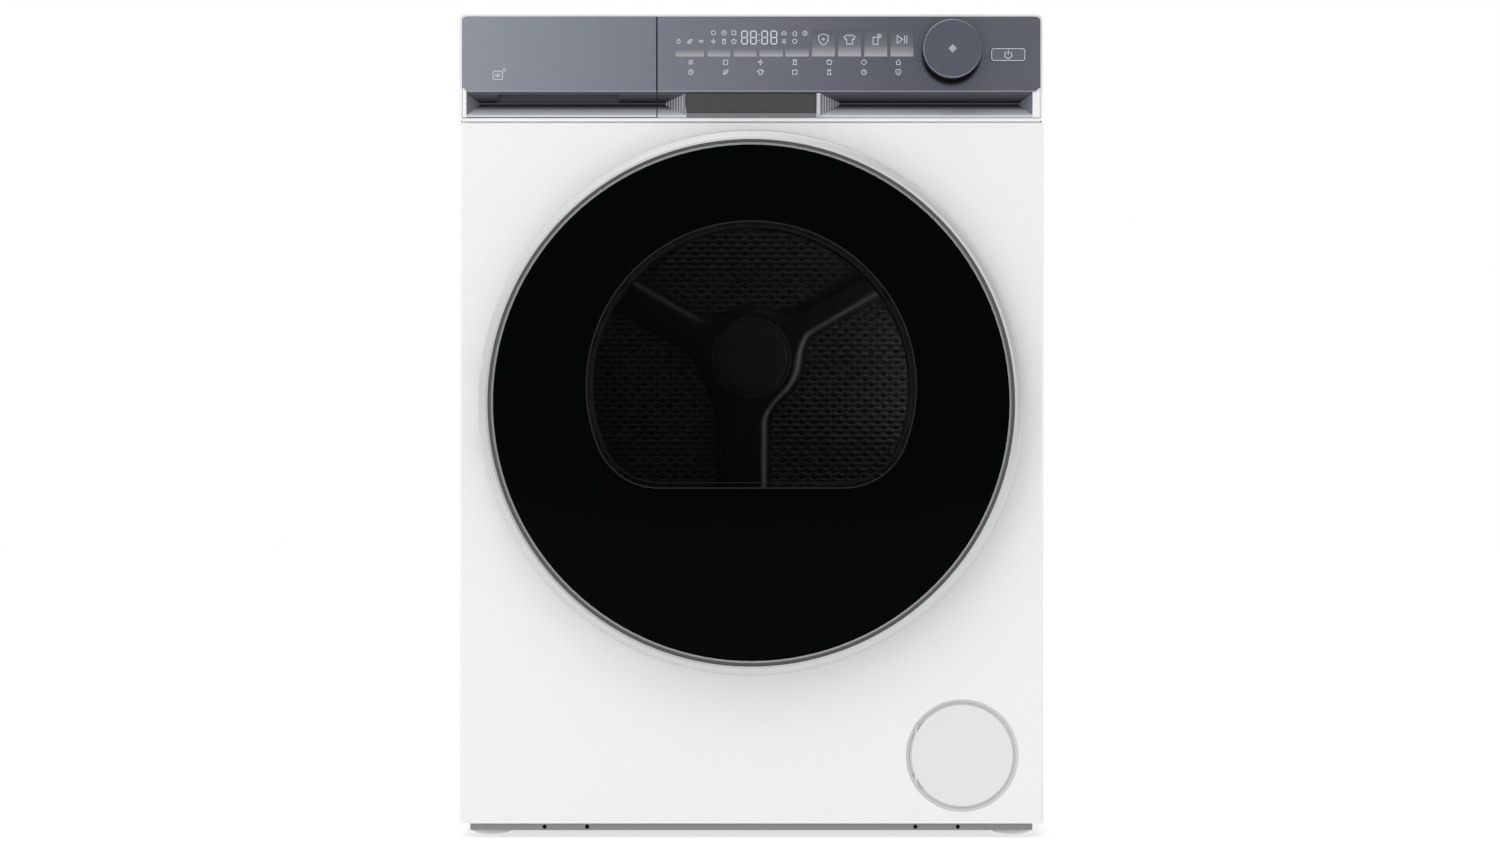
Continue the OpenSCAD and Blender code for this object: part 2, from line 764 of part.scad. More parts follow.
module door_ring() {
    color("silver") difference() {
        translate([0, 0, door_z]) rotate([-90, 0, 0]) rotate_extrude($fn = 180) polygon([
            [glass_r + 0.3, y_door + 1.4], [glass_r + 2.2, y_door + 1],
            [glass_r + 2.2, y_door + 3.5], [glass_r + 5.8, y_door + 3.5],
            [glass_r + 5.8, y_door + 0.6], [ring_r - 7.5, y_door], [ring_r - 3.5, y_door + 1.2],
            [ring_r - 1, y_door + 3.6], [ring_r, y_door + 7],
            [ring_r, -297], [ring_r - 5, -292.4], [glass_r + 0.3, -292.4]]);
        block([hinge_x - 6.8, hinge_y - 6.8, door_z - 48], [-258, -285, door_z + 48]);
        for (s = [-1, 1])
            block([-283, -322.4, door_z + s * lug_dz - 6.5], [-258, -285, door_z + s * lug_dz + 6.5]);
    }
}

module door_glass() {
    color([0.03, 0.03, 0.03]) rod_y(0, door_z, y_door + 1, y_door + 5, glass_r);
}

module door_frame() {
    color("dimgray") difference() {
        union() {
            // Outer wall, back plate, plug wall and the well behind the glass
            ring_y(0, door_z, y_door + 5, -296, glass_r - 0.5, glass_r - 5);
            slab_y(-297, -293) translate([0, door_z]) circle(r = glass_r - 0.5);
            ring_y(0, door_z, -294, -250.6, 220, 216.5);
            slab_y(-253.6, -250.6) translate([0, door_z]) circle(r = 220);
            slab_y(y_door + 5, -250.6) load_shape(2);
        }
        slab_y(y_door + 4, -245) load_shape(-4);
        slab_y(-258, -254) load_shape(-1);
        slab_y(-310, -253.6) difference() {
            translate([0, door_z]) circle(r = 216.5);
            load_shape(2);
        }
        // Pocket of the hinge leaf
        block([-272, -320, door_z - 52], [hinge_x + 7.2, -290, door_z + 52]);
        block([-272, hinge_y - 2.2, door_z - 33.3], [-221.8, hinge_y + 3.2, door_z + 33.3]);
        block([latch_x - 12, -297.5, door_z - 15], [latch_x + 12, -295, door_z + 15]);
        block([latch_x - 5.2, -298, door_z - 8.2], [latch_x + 5.2, -290, door_z + 8.2]);
    }
}

module door_window() {
    color([0.5, 0.55, 0.55, 0.4]) slab_y(-258, -254) load_shape(-1.3);
}

module door_latch() {
    color("silver") {
        block([latch_x - 11.8, -297.4, door_z - 14.8], [latch_x + 11.8, -295.2, door_z + 14.8]);
        block([latch_x - 5, -296, door_z - 8], [latch_x - 1, -268, door_z + 8]);
        block([latch_x - 2, -273, door_z - 8], [latch_x + 5, -268, door_z + 8]);
    }
}

// ---------- drum ----------

module drum_shell() {
    color("silver") {
        ring_y(0, drum_z, y_drum0, y_drum1, drum_r, drum_r - drum_t);
        // Front flange that runs on the felt
        ring_y(0, drum_z, y_drum0, y_drum0 + 2, drum_r - 0.5, 268);
    }
}

// The three arms and the middle dish pressed forward out of the drum's rear wall
module drum_arms(inset, lift) {
    slab_y(y_drum1 - lift, y_drum1 + inset) translate([0, drum_z]) union() {
        circle(r = 66 - inset);
        for (a = [30, 150, 270]) rotate(a)
            translate([40, inset - 26]) square([232 - inset, 52 - 2 * inset]);
    }
}

module drum_rear_wall() {
    color("silver") difference() {
        union() {
            rod_y(0, drum_z, y_drum1 - 1.5, y_drum1, drum_r - drum_t);
            drum_arms(0, 14);
        }
        drum_arms(1.5, 12.5);
        rod_y(0, drum_z, y_drum1 - 20, y_drum1 + 2, 12);
    }
}

module drum_hub_cap() {
    color("gray") translate([0, 0, drum_z]) rotate([-90, 0, 0]) rotate_extrude() polygon([
        [0, 214], [40, 214], [45, 216], [48, 220], [48, 226], [0, 226]]);
}

// Cross-section of a lifter, its foot on the drum, its nose towards the axis
module lifter_outline(inset) {
    foot_r = drum_r - drum_t - 0.05;
    polygon(concat(
        [[foot_r * cos(6.5), -foot_r * sin(6.5) + inset]],
        arc([234, 0], 12 - inset, 250, 110, 8),
        [[foot_r * cos(6.5), foot_r * sin(6.5) - inset]],
        arc([0, 0], foot_r + inset, 6.3 - inset / 5, inset / 5 - 6.3, 6)));
}

module drum_lifters() {
    color("lightgray") for (a = [90, 210, 330])
        translate([0, 0, drum_z]) rotate([0, -a, 0]) rotate([90, 0, 0]) difference() {
            translate([0, 0, -215]) linear_extrude(height = 400) lifter_outline(0);
            translate([0, 0, -212]) linear_extrude(height = 394) lifter_outline(3);
        }
}

module drum_shaft() {
    color("silver") {
        rod_y(0, drum_z, 226, y_rear_bulkhead + 22, 12);
        rod_y(0, drum_z, y_drum1 - 11, y_drum1 + 4, 46);
    }
}

// ---------- water tank, filter and controls ----------

module tank_body() {
    color("white") difference() {
        block([tank_x[0], tank_y[0], tank_z[0]], [tank_x[1], tank_y[1], tank_z[1]]);
        rod_y(0, drum_z, -300, 300, tank_arc_r);
        difference() {
            block([tank_x[0] + tank_wall, tank_y[0] + tank_wall, tank_z[0] + tank_wall],
                  [tank_x[1] - tank_wall, tank_y[1] - tank_wall, tank_z[1] - tank_wall]);
            rod_y(0, drum_z, -300, 300, tank_arc_r + tank_wall);
        }
        // Fill and pouring opening
        slab_z(tank_z[1] - 5, tank_z[1] + 5) round_rect([-270, 120], [-190, 200], 10);
    }
}

module tank_front() {
    x0 = -half_w + 4.1;
    x1 = seam_x - 0.5;
    color("slategray") difference() {
        union() {
            slab_y(y_plate, y_plate + 3) plate_outline(x1, x0);
            block([x0 + 1, y_plate + 2, band_z0 + 0.4], [x1, -266, 835]);
            block([-284, -267, 748], [-102, -258, 818]);
        }
        rod_y(0, drum_z, -265, -250, tank_arc_r);
        scoop([[-291.8, y_plate - 2], [x1 + 1, y_plate - 2], [x1 + 1, y_plate + recess_depth + 1],
               [-279.5, y_plate + recess_depth + 1], [-291.8, y_plate + 3]]);
        // Finger pocket up behind the plate
        block([-261, y_plate + 4, recess_back_top], [-136, y_plate + recess_depth, 778]);
        block([-280, y_plate + 4, 786], [-110, -255, 812]);
    }
}

module lint_filter() {
    color("gainsboro") difference() {
        block([-81.6, -230.4, 190.5], [81.6, -222, 352]);
        // Mesh field and finger slots
        block([-74, -233, 198], [74, -227, 330]);
        for (i = [-4 : 4]) block([i * 9 - 2, -233, 336], [i * 9 + 2, -220, 348]);
    }
}

module program_knob() {
    color("slategray") {
        translate([knob_x, 0, knob_z]) rotate([-90, 0, 0]) rotate_extrude() polygon([
            [0, -312.5], [knob_r - 2.4, -312.5], [knob_r - 1.2, -313], [knob_r - 0.4, -312.4],
            [knob_r, -311], [knob_r, -293.5], [0, -293.5]]);
        rod_y(knob_x, knob_z, -294, -287, 3);
    }
}

module power_button() {
    color("slategray") {
        slab_y(y_plate - 0.3, -289) round_rect(
            [power_x - power_w / 2, power_z - power_h / 2],
            [power_x + power_w / 2, power_z + power_h / 2], 2.8);
        slab_y(-289.8, -288.4) round_rect(
            [power_x - power_w / 2 - 1.6, power_z - power_h / 2 - 1.6],
            [power_x + power_w / 2 + 1.6, power_z + power_h / 2 + 1.6], 3);
    }
}

module service_flap() {
    x_pivot = flap_x - 47;
    color("white") {
        rod_y(flap_x, flap_z, y_panel, y_panel + 2.5, flap_r);
        translate([x_pivot, flap_pin_y, flap_z - 18]) cylinder(r = 2.5, h = 36);
        translate([x_pivot, flap_pin_y, flap_z - 32]) cylinder(r = 1.2, h = 64);
    }
}

module filter_cap() {
    color("lightgray") {
        rod_y(flap_x, flap_z, -248, -243.4, 34);
        rod_y(flap_x, flap_z, -244, -212, 26);
        translate([flap_x, 0, flap_z]) block([-28, -262, -4], [28, -247, 4]);
    }
}

module foot(x, y) {
    color("dimgray") translate([x, y, 0]) {
        cylinder(r1 = 18, r2 = 20, h = 2);
        translate([0, 0, 2]) cylinder(r = 20, h = 2.6);
        translate([0, 0, 4.5]) cylinder(r = 9, h = 2.7, $fn = 6);
        translate([0, 0, 4.5]) cylinder(r = stem_r, h = foot_boss_top - 4.5);
    }
}

module foot_front_left() { foot(-foot_x, foot_y[0]); }
module foot_front_right() { foot(foot_x, foot_y[0]); }
module foot_rear_left() { foot(-foot_x, foot_y[1]); }
module foot_rear_right() { foot(foot_x, foot_y[1]); }

base_pan();
side_panel_left();
side_panel_right();
rear_panel();
rear_duct_cover();
top_cover();
front_panel();
front_bulkhead();
rear_bulkhead();
fascia_frame();
control_plate();
centre_plate();
touch_keys();
control_board();
tank_housing();
door_seal();
drum_felt();
roller_axles();
shaft_bush();
motor_stator();
compressor();
evaporator();
condenser();
fan_housing();
condensate_pump();
drain_spigot();
cable_gland();
door_lock();
filter_well();
panel_screws();
hinge_bracket();
drive_belt();
door_ring();
door_glass();
door_frame();
door_window();
door_hinge();
door_latch();
drum_shell();
drum_rear_wall();
drum_hub_cap();
drum_lifters();
drum_shaft();
motor_rotor();
blower_wheel();
idler_arm();
idler_pulley();
support_roller_left();
support_roller_right();
tank_body();
tank_front();
lint_filter();
program_knob();
power_button();
service_flap();
filter_cap();
foot_front_left();
foot_front_right();
foot_rear_left();
foot_rear_right();
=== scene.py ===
"""Looks of the clothes dryer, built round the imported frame. Metres, the frame's own axes."""

import json
import math

import bmesh
import bpy
import numpy as np
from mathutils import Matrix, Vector


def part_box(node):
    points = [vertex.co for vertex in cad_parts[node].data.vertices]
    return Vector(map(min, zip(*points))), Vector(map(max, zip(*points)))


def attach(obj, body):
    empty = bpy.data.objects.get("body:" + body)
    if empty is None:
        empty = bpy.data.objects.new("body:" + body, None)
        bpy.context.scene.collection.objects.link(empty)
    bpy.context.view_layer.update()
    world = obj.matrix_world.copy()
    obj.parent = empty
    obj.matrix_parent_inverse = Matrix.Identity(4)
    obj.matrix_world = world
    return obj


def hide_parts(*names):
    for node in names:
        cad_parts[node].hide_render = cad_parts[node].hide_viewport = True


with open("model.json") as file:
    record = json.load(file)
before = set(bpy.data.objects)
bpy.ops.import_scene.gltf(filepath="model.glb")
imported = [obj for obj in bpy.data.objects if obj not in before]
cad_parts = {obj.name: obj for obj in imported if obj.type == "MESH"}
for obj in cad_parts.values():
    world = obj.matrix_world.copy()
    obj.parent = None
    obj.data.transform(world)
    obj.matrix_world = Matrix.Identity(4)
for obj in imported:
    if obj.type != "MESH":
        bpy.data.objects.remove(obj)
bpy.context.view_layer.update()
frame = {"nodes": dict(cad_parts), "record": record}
nodes = frame["nodes"]
MM = 0.001


# ---------------------------------------------------------------- places taken from the frame

def middle(node):
    """Centre of a node's box."""
    low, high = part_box(node)
    return (Vector(low) + Vector(high)) / 2


panel_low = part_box("front_panel")[0]
plate_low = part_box("control_plate")[0]
tank_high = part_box("tank_front")[1]
ring_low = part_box("door_ring")[0]
glass_low, glass_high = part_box("door_glass")
window_low, window_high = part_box("door_window")
knob_low, knob_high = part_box("program_knob")
button_low, button_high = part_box("power_button")
flap_low, flap_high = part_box("service_flap")
wall_low, wall_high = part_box("drum_rear_wall")
hub_low, hub_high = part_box("drum_hub_cap")
key_low, key_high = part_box("touch_keys")
centre_low, centre_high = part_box("centre_plate")

PANEL_Y = panel_low[1]
PLATE_Y = plate_low[1]
DOOR = middle("door_glass")
GLASS_Y = DOOR[1] - 2 * MM
GLASS_R = (glass_high[0] - glass_low[0]) / 2
DRUM = middle("drum_rear_wall")
DRUM_R = (wall_high[0] - wall_low[0]) / 2
KNOB = middle("program_knob")
KNOB_R = (knob_high[0] - knob_low[0]) / 2
FLAP = Vector(((flap_low[0] + flap_high[0]) / 2, flap_low[1], (flap_low[2] + flap_high[2]) / 2))
FLAP_R = (flap_high[2] - flap_low[2]) / 2
HUB_R = (hub_high[0] - hub_low[0]) / 2


# ---------------------------------------------------------------- mesh helpers

def piece(name, shape, material, body, replaces=(), smooth_deg=35):
    """A mesh piece of (points, faces) that rides on a body, is finished with the given material, and may
    stand for CAD nodes."""
    verts, faces = shape
    mesh = bpy.data.meshes.new(name)
    mesh.from_pydata([tuple(v) for v in verts], [], faces)
    bm = bmesh.new()
    bm.from_mesh(mesh)
    bmesh.ops.remove_doubles(bm, verts=bm.verts, dist=1e-6)
    bmesh.ops.recalc_face_normals(bm, faces=bm.faces)
    bm.to_mesh(mesh)
    bm.free()
    for polygon in mesh.polygons:
        polygon.use_smooth = True
    mesh.set_sharp_from_angle(angle=math.radians(smooth_deg))
    obj = bpy.data.objects.new(name, mesh)
    bpy.context.scene.collection.objects.link(obj)
    mesh.materials.append(material)
    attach(obj, body)
    if replaces:
        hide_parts(*replaces)
    return obj


def ring_faces(rings, size):
    """Faces of a closed chain of rings that have size points each."""
    faces = []
    for i in range(rings):
        j = (i + 1) % rings
        for k in range(size):
            m = (k + 1) % size
            faces.append((i * size + k, i * size + m, j * size + m, j * size + k))
    return faces


def lathe(profile, centre, steps):
    """Points and faces of a closed profile of (radius, y) turned about an axis along Y."""
    verts = []
    for i in range(steps):
        turn = 2 * math.pi * i / steps
        for radius, y in profile:
            verts.append((centre[0] + radius * math.cos(turn), y, centre[2] + radius * math.sin(turn)))
    return verts, ring_faces(steps, len(profile))


def rectangle(x0, z0, x1, z1):
    """(x, z) corners, from millimetres."""
    return [(x * MM, z * MM) for x, z in ((x0, z0), (x1, z0), (x1, z1), (x0, z1))]


def prism(outline, y0, y1):
    """Points and faces of a flat outline of (x, z) raised from y0 to y1."""
    count = len(outline)
    verts = [(x, y, z) for y in (y0, y1) for x, z in outline]
    faces = [tuple(range(count)), tuple(range(2 * count - 1, count - 1, -1))]
    for i in range(count):
        j = (i + 1) % count
        faces.append((i, j, count + j, count + i))
    return verts, faces


def join(parts):
    """One list of points and faces from several."""
    verts, faces = [], []
    for part_verts, part_faces in parts:
        start = len(verts)
        verts.extend(part_verts)
        faces.extend(tuple(start + i for i in face) for face in part_faces)
    return verts, faces


def ribbon(points, width, y0, y1, closed=False):
    """A flat line of constant width through (x, z) points, raised from y0 to y1."""
    pts = [Vector(p) for p in points]
    count = len(pts)
    left, right = [], []
    for i, p in enumerate(pts):
        before = pts[i - 1] if (i or closed) else p
        after = pts[(i + 1) % count] if (i < count - 1 or closed) else p
        d_in = (p - before).normalized() if (p - before).length > 1e-9 else None
        d_out = (after - p).normalized() if (after - p).length > 1e-9 else None
        d_in = d_in or d_out
        d_out = d_out or d_in
        n_in = Vector((-d_in.y, d_in.x))
        n_out = Vector((-d_out.y, d_out.x))
        n = n_in + n_out
        n = n.normalized() if n.length > 1e-6 else n_in
        reach = width / 2 / max(0.5, n.dot(n_in))
        left.append(p + n * reach)
        right.append(p - n * reach)
    verts, faces = [], []
    for l, r in zip(left, right):
        verts += [(l.x, y0, l.y), (r.x, y0, r.y), (r.x, y1, r.y), (l.x, y1, l.y)]
    last = count if closed else count - 1
    for i in range(last):
        a, b = 4 * i, 4 * ((i + 1) % count)
        for k in range(4):
            m = (k + 1) % 4
            faces.append((a + k, a + m, b + m, b + k))
    if not closed:
        faces.append((0, 1, 2, 3))
        end = 4 * (count - 1)
        faces.append((end + 3, end + 2, end + 1, end))
    return verts, faces


def arc(centre, radius, start, stop, count):
    """(x, z) points on an arc, angles in degrees."""
    turns = [math.radians(start + (stop - start) * i / count) for i in range(count + 1)]
    return [(centre[0] + radius * math.cos(t), centre[1] + radius * math.sin(t)) for t in turns]


def round_rect(x0, z0, x1, z1, radius, count):
    """(x, z) points of a rectangle with round corners of count steps each."""
    corners = [((x1 - radius, z0 + radius), -90), ((x1 - radius, z1 - radius), 0),
               ((x0 + radius, z1 - radius), 90), ((x0 + radius, z0 + radius), 180)]
    points = []
    for centre, start in corners:
        points += arc(centre, radius, start, start + 90, count)
    return points


def sweep(path, section):
    """Section of (outward, y) carried round a closed flat (x, z) path."""
    pts = [Vector(p) for p in path]
    verts = []
    for i, p in enumerate(pts):
        along = (pts[(i + 1) % len(pts)] - pts[i - 1]).normalized()
        out = Vector((along.y, -along.x))
        for reach, y in section:
            q = p + out * reach
            verts.append((q.x, y, q.y))
    return verts, ring_faces(len(pts), len(section))


# ---------------------------------------------------------------- materials

def add(tree, kind, inputs, **settings):
    """A shader node; inputs holds a value or a socket to link for each of its inputs."""
    node = tree.nodes.new(kind)
    for field, value in settings.items():
        setattr(node, field, value)
    for key, value in inputs.items():
        if isinstance(value, bpy.types.NodeSocket):
            tree.links.new(value, node.inputs[key])
        else:
            node.inputs[key].default_value = value
    return node


def mix(tree, amount, first, second, blend="MIX"):
    """Two colours mixed, or blended as Blender's blend type says."""
    return add(tree, "ShaderNodeMixRGB", {"Fac": amount, "Color1": first, "Color2": second},
               blend_type=blend).outputs["Color"]


def remap(tree, value, low=0.0, high=1.0, to_low=0.0, to_high=1.0, curve="LINEAR"):
    """A value carried from low..high to to_low..to_high, and held at both ends."""
    return add(tree, "ShaderNodeMapRange", {"Value": value, "From Min": low, "From Max": high,
                                            "To Min": to_low, "To Max": to_high},
               interpolation_type=curve).outputs["Result"]


def ramp(tree, value, stops):
    """Colours along a value, from stops of (position, colour)."""
    node = add(tree, "ShaderNodeValToRGB", {"Fac": value})
    elements = node.color_ramp.elements
    elements[0].position, elements[1].position = stops[0][0], stops[-1][0]
    elements[0].color, elements[1].color = (*stops[0][1], 1), (*stops[-1][1], 1)
    for position, colour in stops[1:-1]:
        elements.new(position).color = (*colour, 1)
    return node.outputs["Color"]


def surface(name, colour, rough, metallic=0.0, grain=900.0, shade=0.06, bump=0.05, stretch=(1, 1, 1),
            coat=0.0, specular=0.5, rough_spread=0.08, alpha=1.0, glow=0.0, large=6.0, large_shade=0.03):
    """A moulded, painted or metal surface: fine grain in colour, roughness and relief, and a slow
    change of shade over the piece."""
    material = bpy.data.materials.new(name)
    material.use_nodes = True
    tree = material.node_tree
    shader = tree.nodes["Principled BSDF"]
    place = add(tree, "ShaderNodeTexCoord", {}).outputs["Object"]
    stretched = add(tree, "ShaderNodeMapping", {"Vector": place, "Scale": stretch}).outputs["Vector"]
    fine = add(tree, "ShaderNodeTexNoise",
               {"Vector": stretched, "Scale": grain, "Detail": 4}).outputs["Fac"]
    slow = add(tree, "ShaderNodeTexNoise", {"Vector": place, "Scale": large, "Detail": 2}).outputs["Fac"]
    tint = mix(tree, fine, (*[c * (1 - shade) for c in colour], 1),
               (*[min(1, c * (1 + shade)) for c in colour], 1))
    drift = remap(tree, slow, 0, 1, 1 - large_shade, 1 + large_shade)
    shades = mix(tree, 1, tint, drift, "MULTIPLY")
    gloss = remap(tree, fine, 0, 1, max(0.02, rough - rough_spread), min(1, rough + rough_spread))
    relief = add(tree, "ShaderNodeBump", {"Strength": bump, "Distance": 0.4 * MM, "Height": fine})
    tree.links.new(shades, shader.inputs["Base Color"])
    tree.links.new(gloss, shader.inputs["Roughness"])
    tree.links.new(relief.outputs["Normal"], shader.inputs["Normal"])
    for field, value in (("Metallic", metallic), ("Specular IOR Level", specular), ("Coat Weight", coat),
                         ("Alpha", alpha)):
        shader.inputs[field].default_value = value
    if glow:
        tree.links.new(shades, shader.inputs["Emission Color"])
        shader.inputs["Emission Strength"].default_value = glow
    return material


def graded(name, low_z, high_z, low_colour, high_colour, knee=0.42):
    """A key with painted light at its foot, fading upwards into the plate's shade, most of it below knee.
    """
    material = surface(name, high_colour, 0.35, metallic=0.2, grain=1500, shade=0.05)
    tree = material.node_tree
    place = add(tree, "ShaderNodeTexCoord", {})
    split = add(tree, "ShaderNodeSeparateXYZ", {"Vector": place.outputs["Object"]})
    blend = [0.8 * b + 0.2 * a for a, b in zip(low_colour, high_colour)]
    shades = ramp(tree, remap(tree, split.outputs["Z"], low_z, high_z),
                  [(0.05, low_colour), (knee, blend), (0.95, high_colour)])
    old = tree.nodes["Principled BSDF"].inputs["Base Color"].links[0].from_node
    tree.links.new(shades, old.inputs["Color1"])
    return material


# Painted light across the slate plate (a painted highlight at its left, painted shade at its right),
# painted shade over the heights of the grip recess, a painted highlight line at the plate's foot, and
# painted shade across the seam between the drawer and the control plate
PLATE_PAINTED_LIGHT = [(0.0, (0.335, 0.356, 0.418)), (0.5, (0.240, 0.256, 0.306)), (0.75, (0.168, 0.18, 0.224)),
                (1.0, (0.188, 0.20, 0.242))]
RECESS_PAINTED_SHADE = [(0.0, (0.62, 0.64, 0.67)), (0.09, (0.62, 0.64, 0.67)), (0.14, (0.50, 0.52, 0.55)),
                 (0.32, (0.42, 0.435, 0.465)), (0.47, (0.10, 0.105, 0.12)),
                 (0.535, (0.012, 0.013, 0.018)), (0.575, (0.012, 0.013, 0.018)),
                 (0.60, (0.10, 0.105, 0.12)), (0.63, (0.018, 0.02, 0.026)),
                 (0.75, (0.075, 0.079, 0.096)), (1.0, (0.11, 0.115, 0.135))]
RECESS_END_PAINTED_SHADE = (0.20, 0.21, 0.245, 1)
EDGE_PAINTED_HIGHLIGHT = [(0.0, (0, 0, 0)), (0.2, (1, 1, 1)), (0.7, (1, 1, 1)), (1.0, (0, 0, 0))]
EDGE_HIGHLIGHT_COLOUR = (0.46, 0.475, 0.55, 1)
SEAM_PAINTED_SHADE = [(0.0, (1, 1, 1)), (0.2, (1, 1, 1)), (0.36, (0.3, 0.31, 0.36)), (0.64, (0.3, 0.31, 0.36)),
               (0.8, (1, 1, 1)), (1.0, (1, 1, 1))]
PLATE_HALF_WIDTH = 0.3
RECESS_Z = (0.738, 0.766)
EDGE_HIGHLIGHT_Z = (0.7637, 0.7664)


def plate_metal():
    """Metallic plate with a painted highlight at its left that fades to painted shade at its right, and a
    painted shadow round the foot of the knob, with the grip recess below it in painted shade: dark roof,
    dark back line, mid-grey sloping ends, and a floor that lightens towards the front lip."""
    material = surface("slate_plate", (0.5, 0.5, 0.5), 0.36, metallic=0.9, grain=2600, shade=0.05,
                       bump=0.04, stretch=(0.06, 1, 1), rough_spread=0.05, large_shade=0.01)
    tree = material.node_tree
    shader = tree.nodes["Principled BSDF"]
    place = add(tree, "ShaderNodeTexCoord", {})
    split = add(tree, "ShaderNodeSeparateXYZ", {"Vector": place.outputs["Object"]})
    x, y, z = (split.outputs[axis] for axis in "XYZ")
    # Painted highlight at the plate's left, fading to painted shade at its right
    across = ramp(tree, remap(tree, x, -PLATE_HALF_WIDTH, PLATE_HALF_WIDTH), PLATE_PAINTED_LIGHT)
    # Painted shade along the seam between the drawer and the control plate
    seam_x, seam_half = (tank_high[0] + plate_low[0]) / 2, 2 * MM
    seam = ramp(tree, remap(tree, x, seam_x - seam_half, seam_x + seam_half), SEAM_PAINTED_SHADE)
    # Painted highlight line along the plate's foot
    edge = ramp(tree, remap(tree, z, *EDGE_HIGHLIGHT_Z), EDGE_PAINTED_HIGHLIGHT)
    face = mix(tree, edge, mix(tree, 1, across, seam, "MULTIPLY"), EDGE_HIGHLIGHT_COLOUR)
    # Painted shade in the grip recess by height, and on its sloping ends by which way they face
    depth = ramp(tree, remap(tree, z, *RECESS_Z), RECESS_PAINTED_SHADE)
    facing = add(tree, "ShaderNodeSeparateXYZ", {"Vector": place.outputs["Normal"]})
    sideways = add(tree, "ShaderNodeMath", {0: facing.outputs["X"]}, operation="ABSOLUTE")
    recess = mix(tree, remap(tree, sideways.outputs["Value"], 0.3, 0.4), depth, RECESS_END_PAINTED_SHADE)
    # 0 on the plate's face, 1 in the recess behind it
    inside = remap(tree, y, PLATE_Y + 0.4 * MM, PLATE_Y + 0.6 * MM)
    # The knob's shadow lies lower than the knob, as the light comes from above
    shadow_drop, shadow_fade_in, shadow_fade_out, shadow_shade = 5.2 * MM, 2.5 * MM, 2.6 * MM, 0.045
    shadow_centre = (KNOB[0], PLATE_Y, KNOB[2] - shadow_drop)
    reach = add(tree, "ShaderNodeVectorMath", {0: place.outputs["Object"], 1: shadow_centre},
                operation="DISTANCE")
    shadow = remap(tree, reach.outputs["Value"], KNOB_R - shadow_fade_in, KNOB_R + shadow_fade_out,
                   shadow_shade, 1.0, "SMOOTHSTEP")
    shaded = mix(tree, 1, mix(tree, inside, face, recess), shadow, "MULTIPLY")
    # The painted light and shade are blended with the grain that surface() made
    old = shader.inputs["Base Color"].links[0].from_node
    grain = old.inputs["Color1"].links[0].from_node
    tree.links.new(mix(tree, 1, shaded, grain.outputs["Color"], "OVERLAY"), old.inputs["Color1"])
    face_metallic, recess_metallic = 0.9, 0.15
    tree.links.new(remap(tree, inside, 0, 1, face_metallic, recess_metallic), shader.inputs["Metallic"])
    return material


ENAMEL = surface("white_enamel", (0.85, 0.85, 0.85), 0.42, grain=1400, shade=0.006, bump=0.035,
                 rough_spread=0.05, specular=0.35, large_shade=0.006)
WHITE_PLASTIC = surface("white_plastic", (0.85, 0.85, 0.85), 0.38, grain=2200, shade=0.008,
                        bump=0.03, specular=0.35, large_shade=0.006)
SLATE = surface("slate_metal", (0.22, 0.235, 0.282), 0.36, metallic=0.9, grain=2600, shade=0.05,
                bump=0.04, stretch=(0.06, 1, 1), rough_spread=0.05, large_shade=0.015)
KNOB_METAL = surface("knob_metal", (0.160, 0.172, 0.212), 0.36, metallic=0.9, grain=2400, shade=0.05,
                     bump=0.05, rough_spread=0.05)
KNOB_EDGE = surface("knob_edge", (0.24, 0.25, 0.285), 0.3, metallic=1.0, grain=1800, shade=0.04)
# The knob's side is painted dark: painted shade for the side seen in shadow under the knob
KNOB_SIDE_PAINTED_SHADE = surface("knob_side_painted_shade", (0.035, 0.037, 0.045), 0.5, metallic=0.4, grain=1800, shade=0.08)
SILVER = surface("satin_silver", (0.58, 0.585, 0.585), 0.36, metallic=0.6, grain=1600, shade=0.02,
                 bump=0.03, rough_spread=0.04)
# The mark glows a little though it is no lamp: painted light
KNOB_MARK = surface("knob_mark", (0.33, 0.34, 0.37), 0.5, grain=3000, shade=0.05, bump=0.0, glow=0.05)
GROOVE = surface("ring_groove", (0.10, 0.10, 0.10), 0.5, grain=1200)
LIP_GREY = surface("ring_lip", (0.30, 0.305, 0.30), 0.38, metallic=0.6, grain=1500, shade=0.03)
BLACK_GLASS = surface("black_glass_border", (0.0008, 0.0018, 0.0015), 0.06, grain=500, shade=0.1,
                      bump=0.002, specular=0.014, rough_spread=0.02)
TINTED_GLASS = surface("black_glass_centre", (0.0008, 0.0018, 0.0015), 0.06, grain=500, shade=0.1,
                       bump=0.002, specular=0.014, rough_spread=0.02, alpha=0.45)
# Grey of the flap's channel and tongue: painted shade in the channel
GROOVE_PAINTED_SHADE = surface("groove_painted_shade", (0.66, 0.66, 0.665), 0.5, grain=2200, shade=0.01, bump=0.03)
FLAP_WHITE = surface("flap_white", (0.765, 0.765, 0.765), 0.42, grain=2200, shade=0.008, bump=0.03,
                     specular=0.35, large_shade=0.006)
FOOT_RUBBER = surface("foot_rubber", (0.80, 0.80, 0.80), 0.7, grain=1300, shade=0.05, bump=0.15)
CLEAR_GLASS = surface("clear_glass", (0.02, 0.022, 0.022), 0.05, grain=600, bump=0.003,
                      specular=0.5, rough_spread=0.02, alpha=0.10)
DARK_PLASTIC = surface("dark_plastic", (0.035, 0.036, 0.038), 0.5, grain=1500, shade=0.15, bump=0.12)
HUB_PLASTIC = surface("hub_plastic", (0.055, 0.054, 0.054), 0.5, grain=1500, shade=0.1, bump=0.1)
GREY_PLASTIC = surface("grey_plastic", (0.24, 0.24, 0.242), 0.55, grain=1400, shade=0.06, bump=0.12)
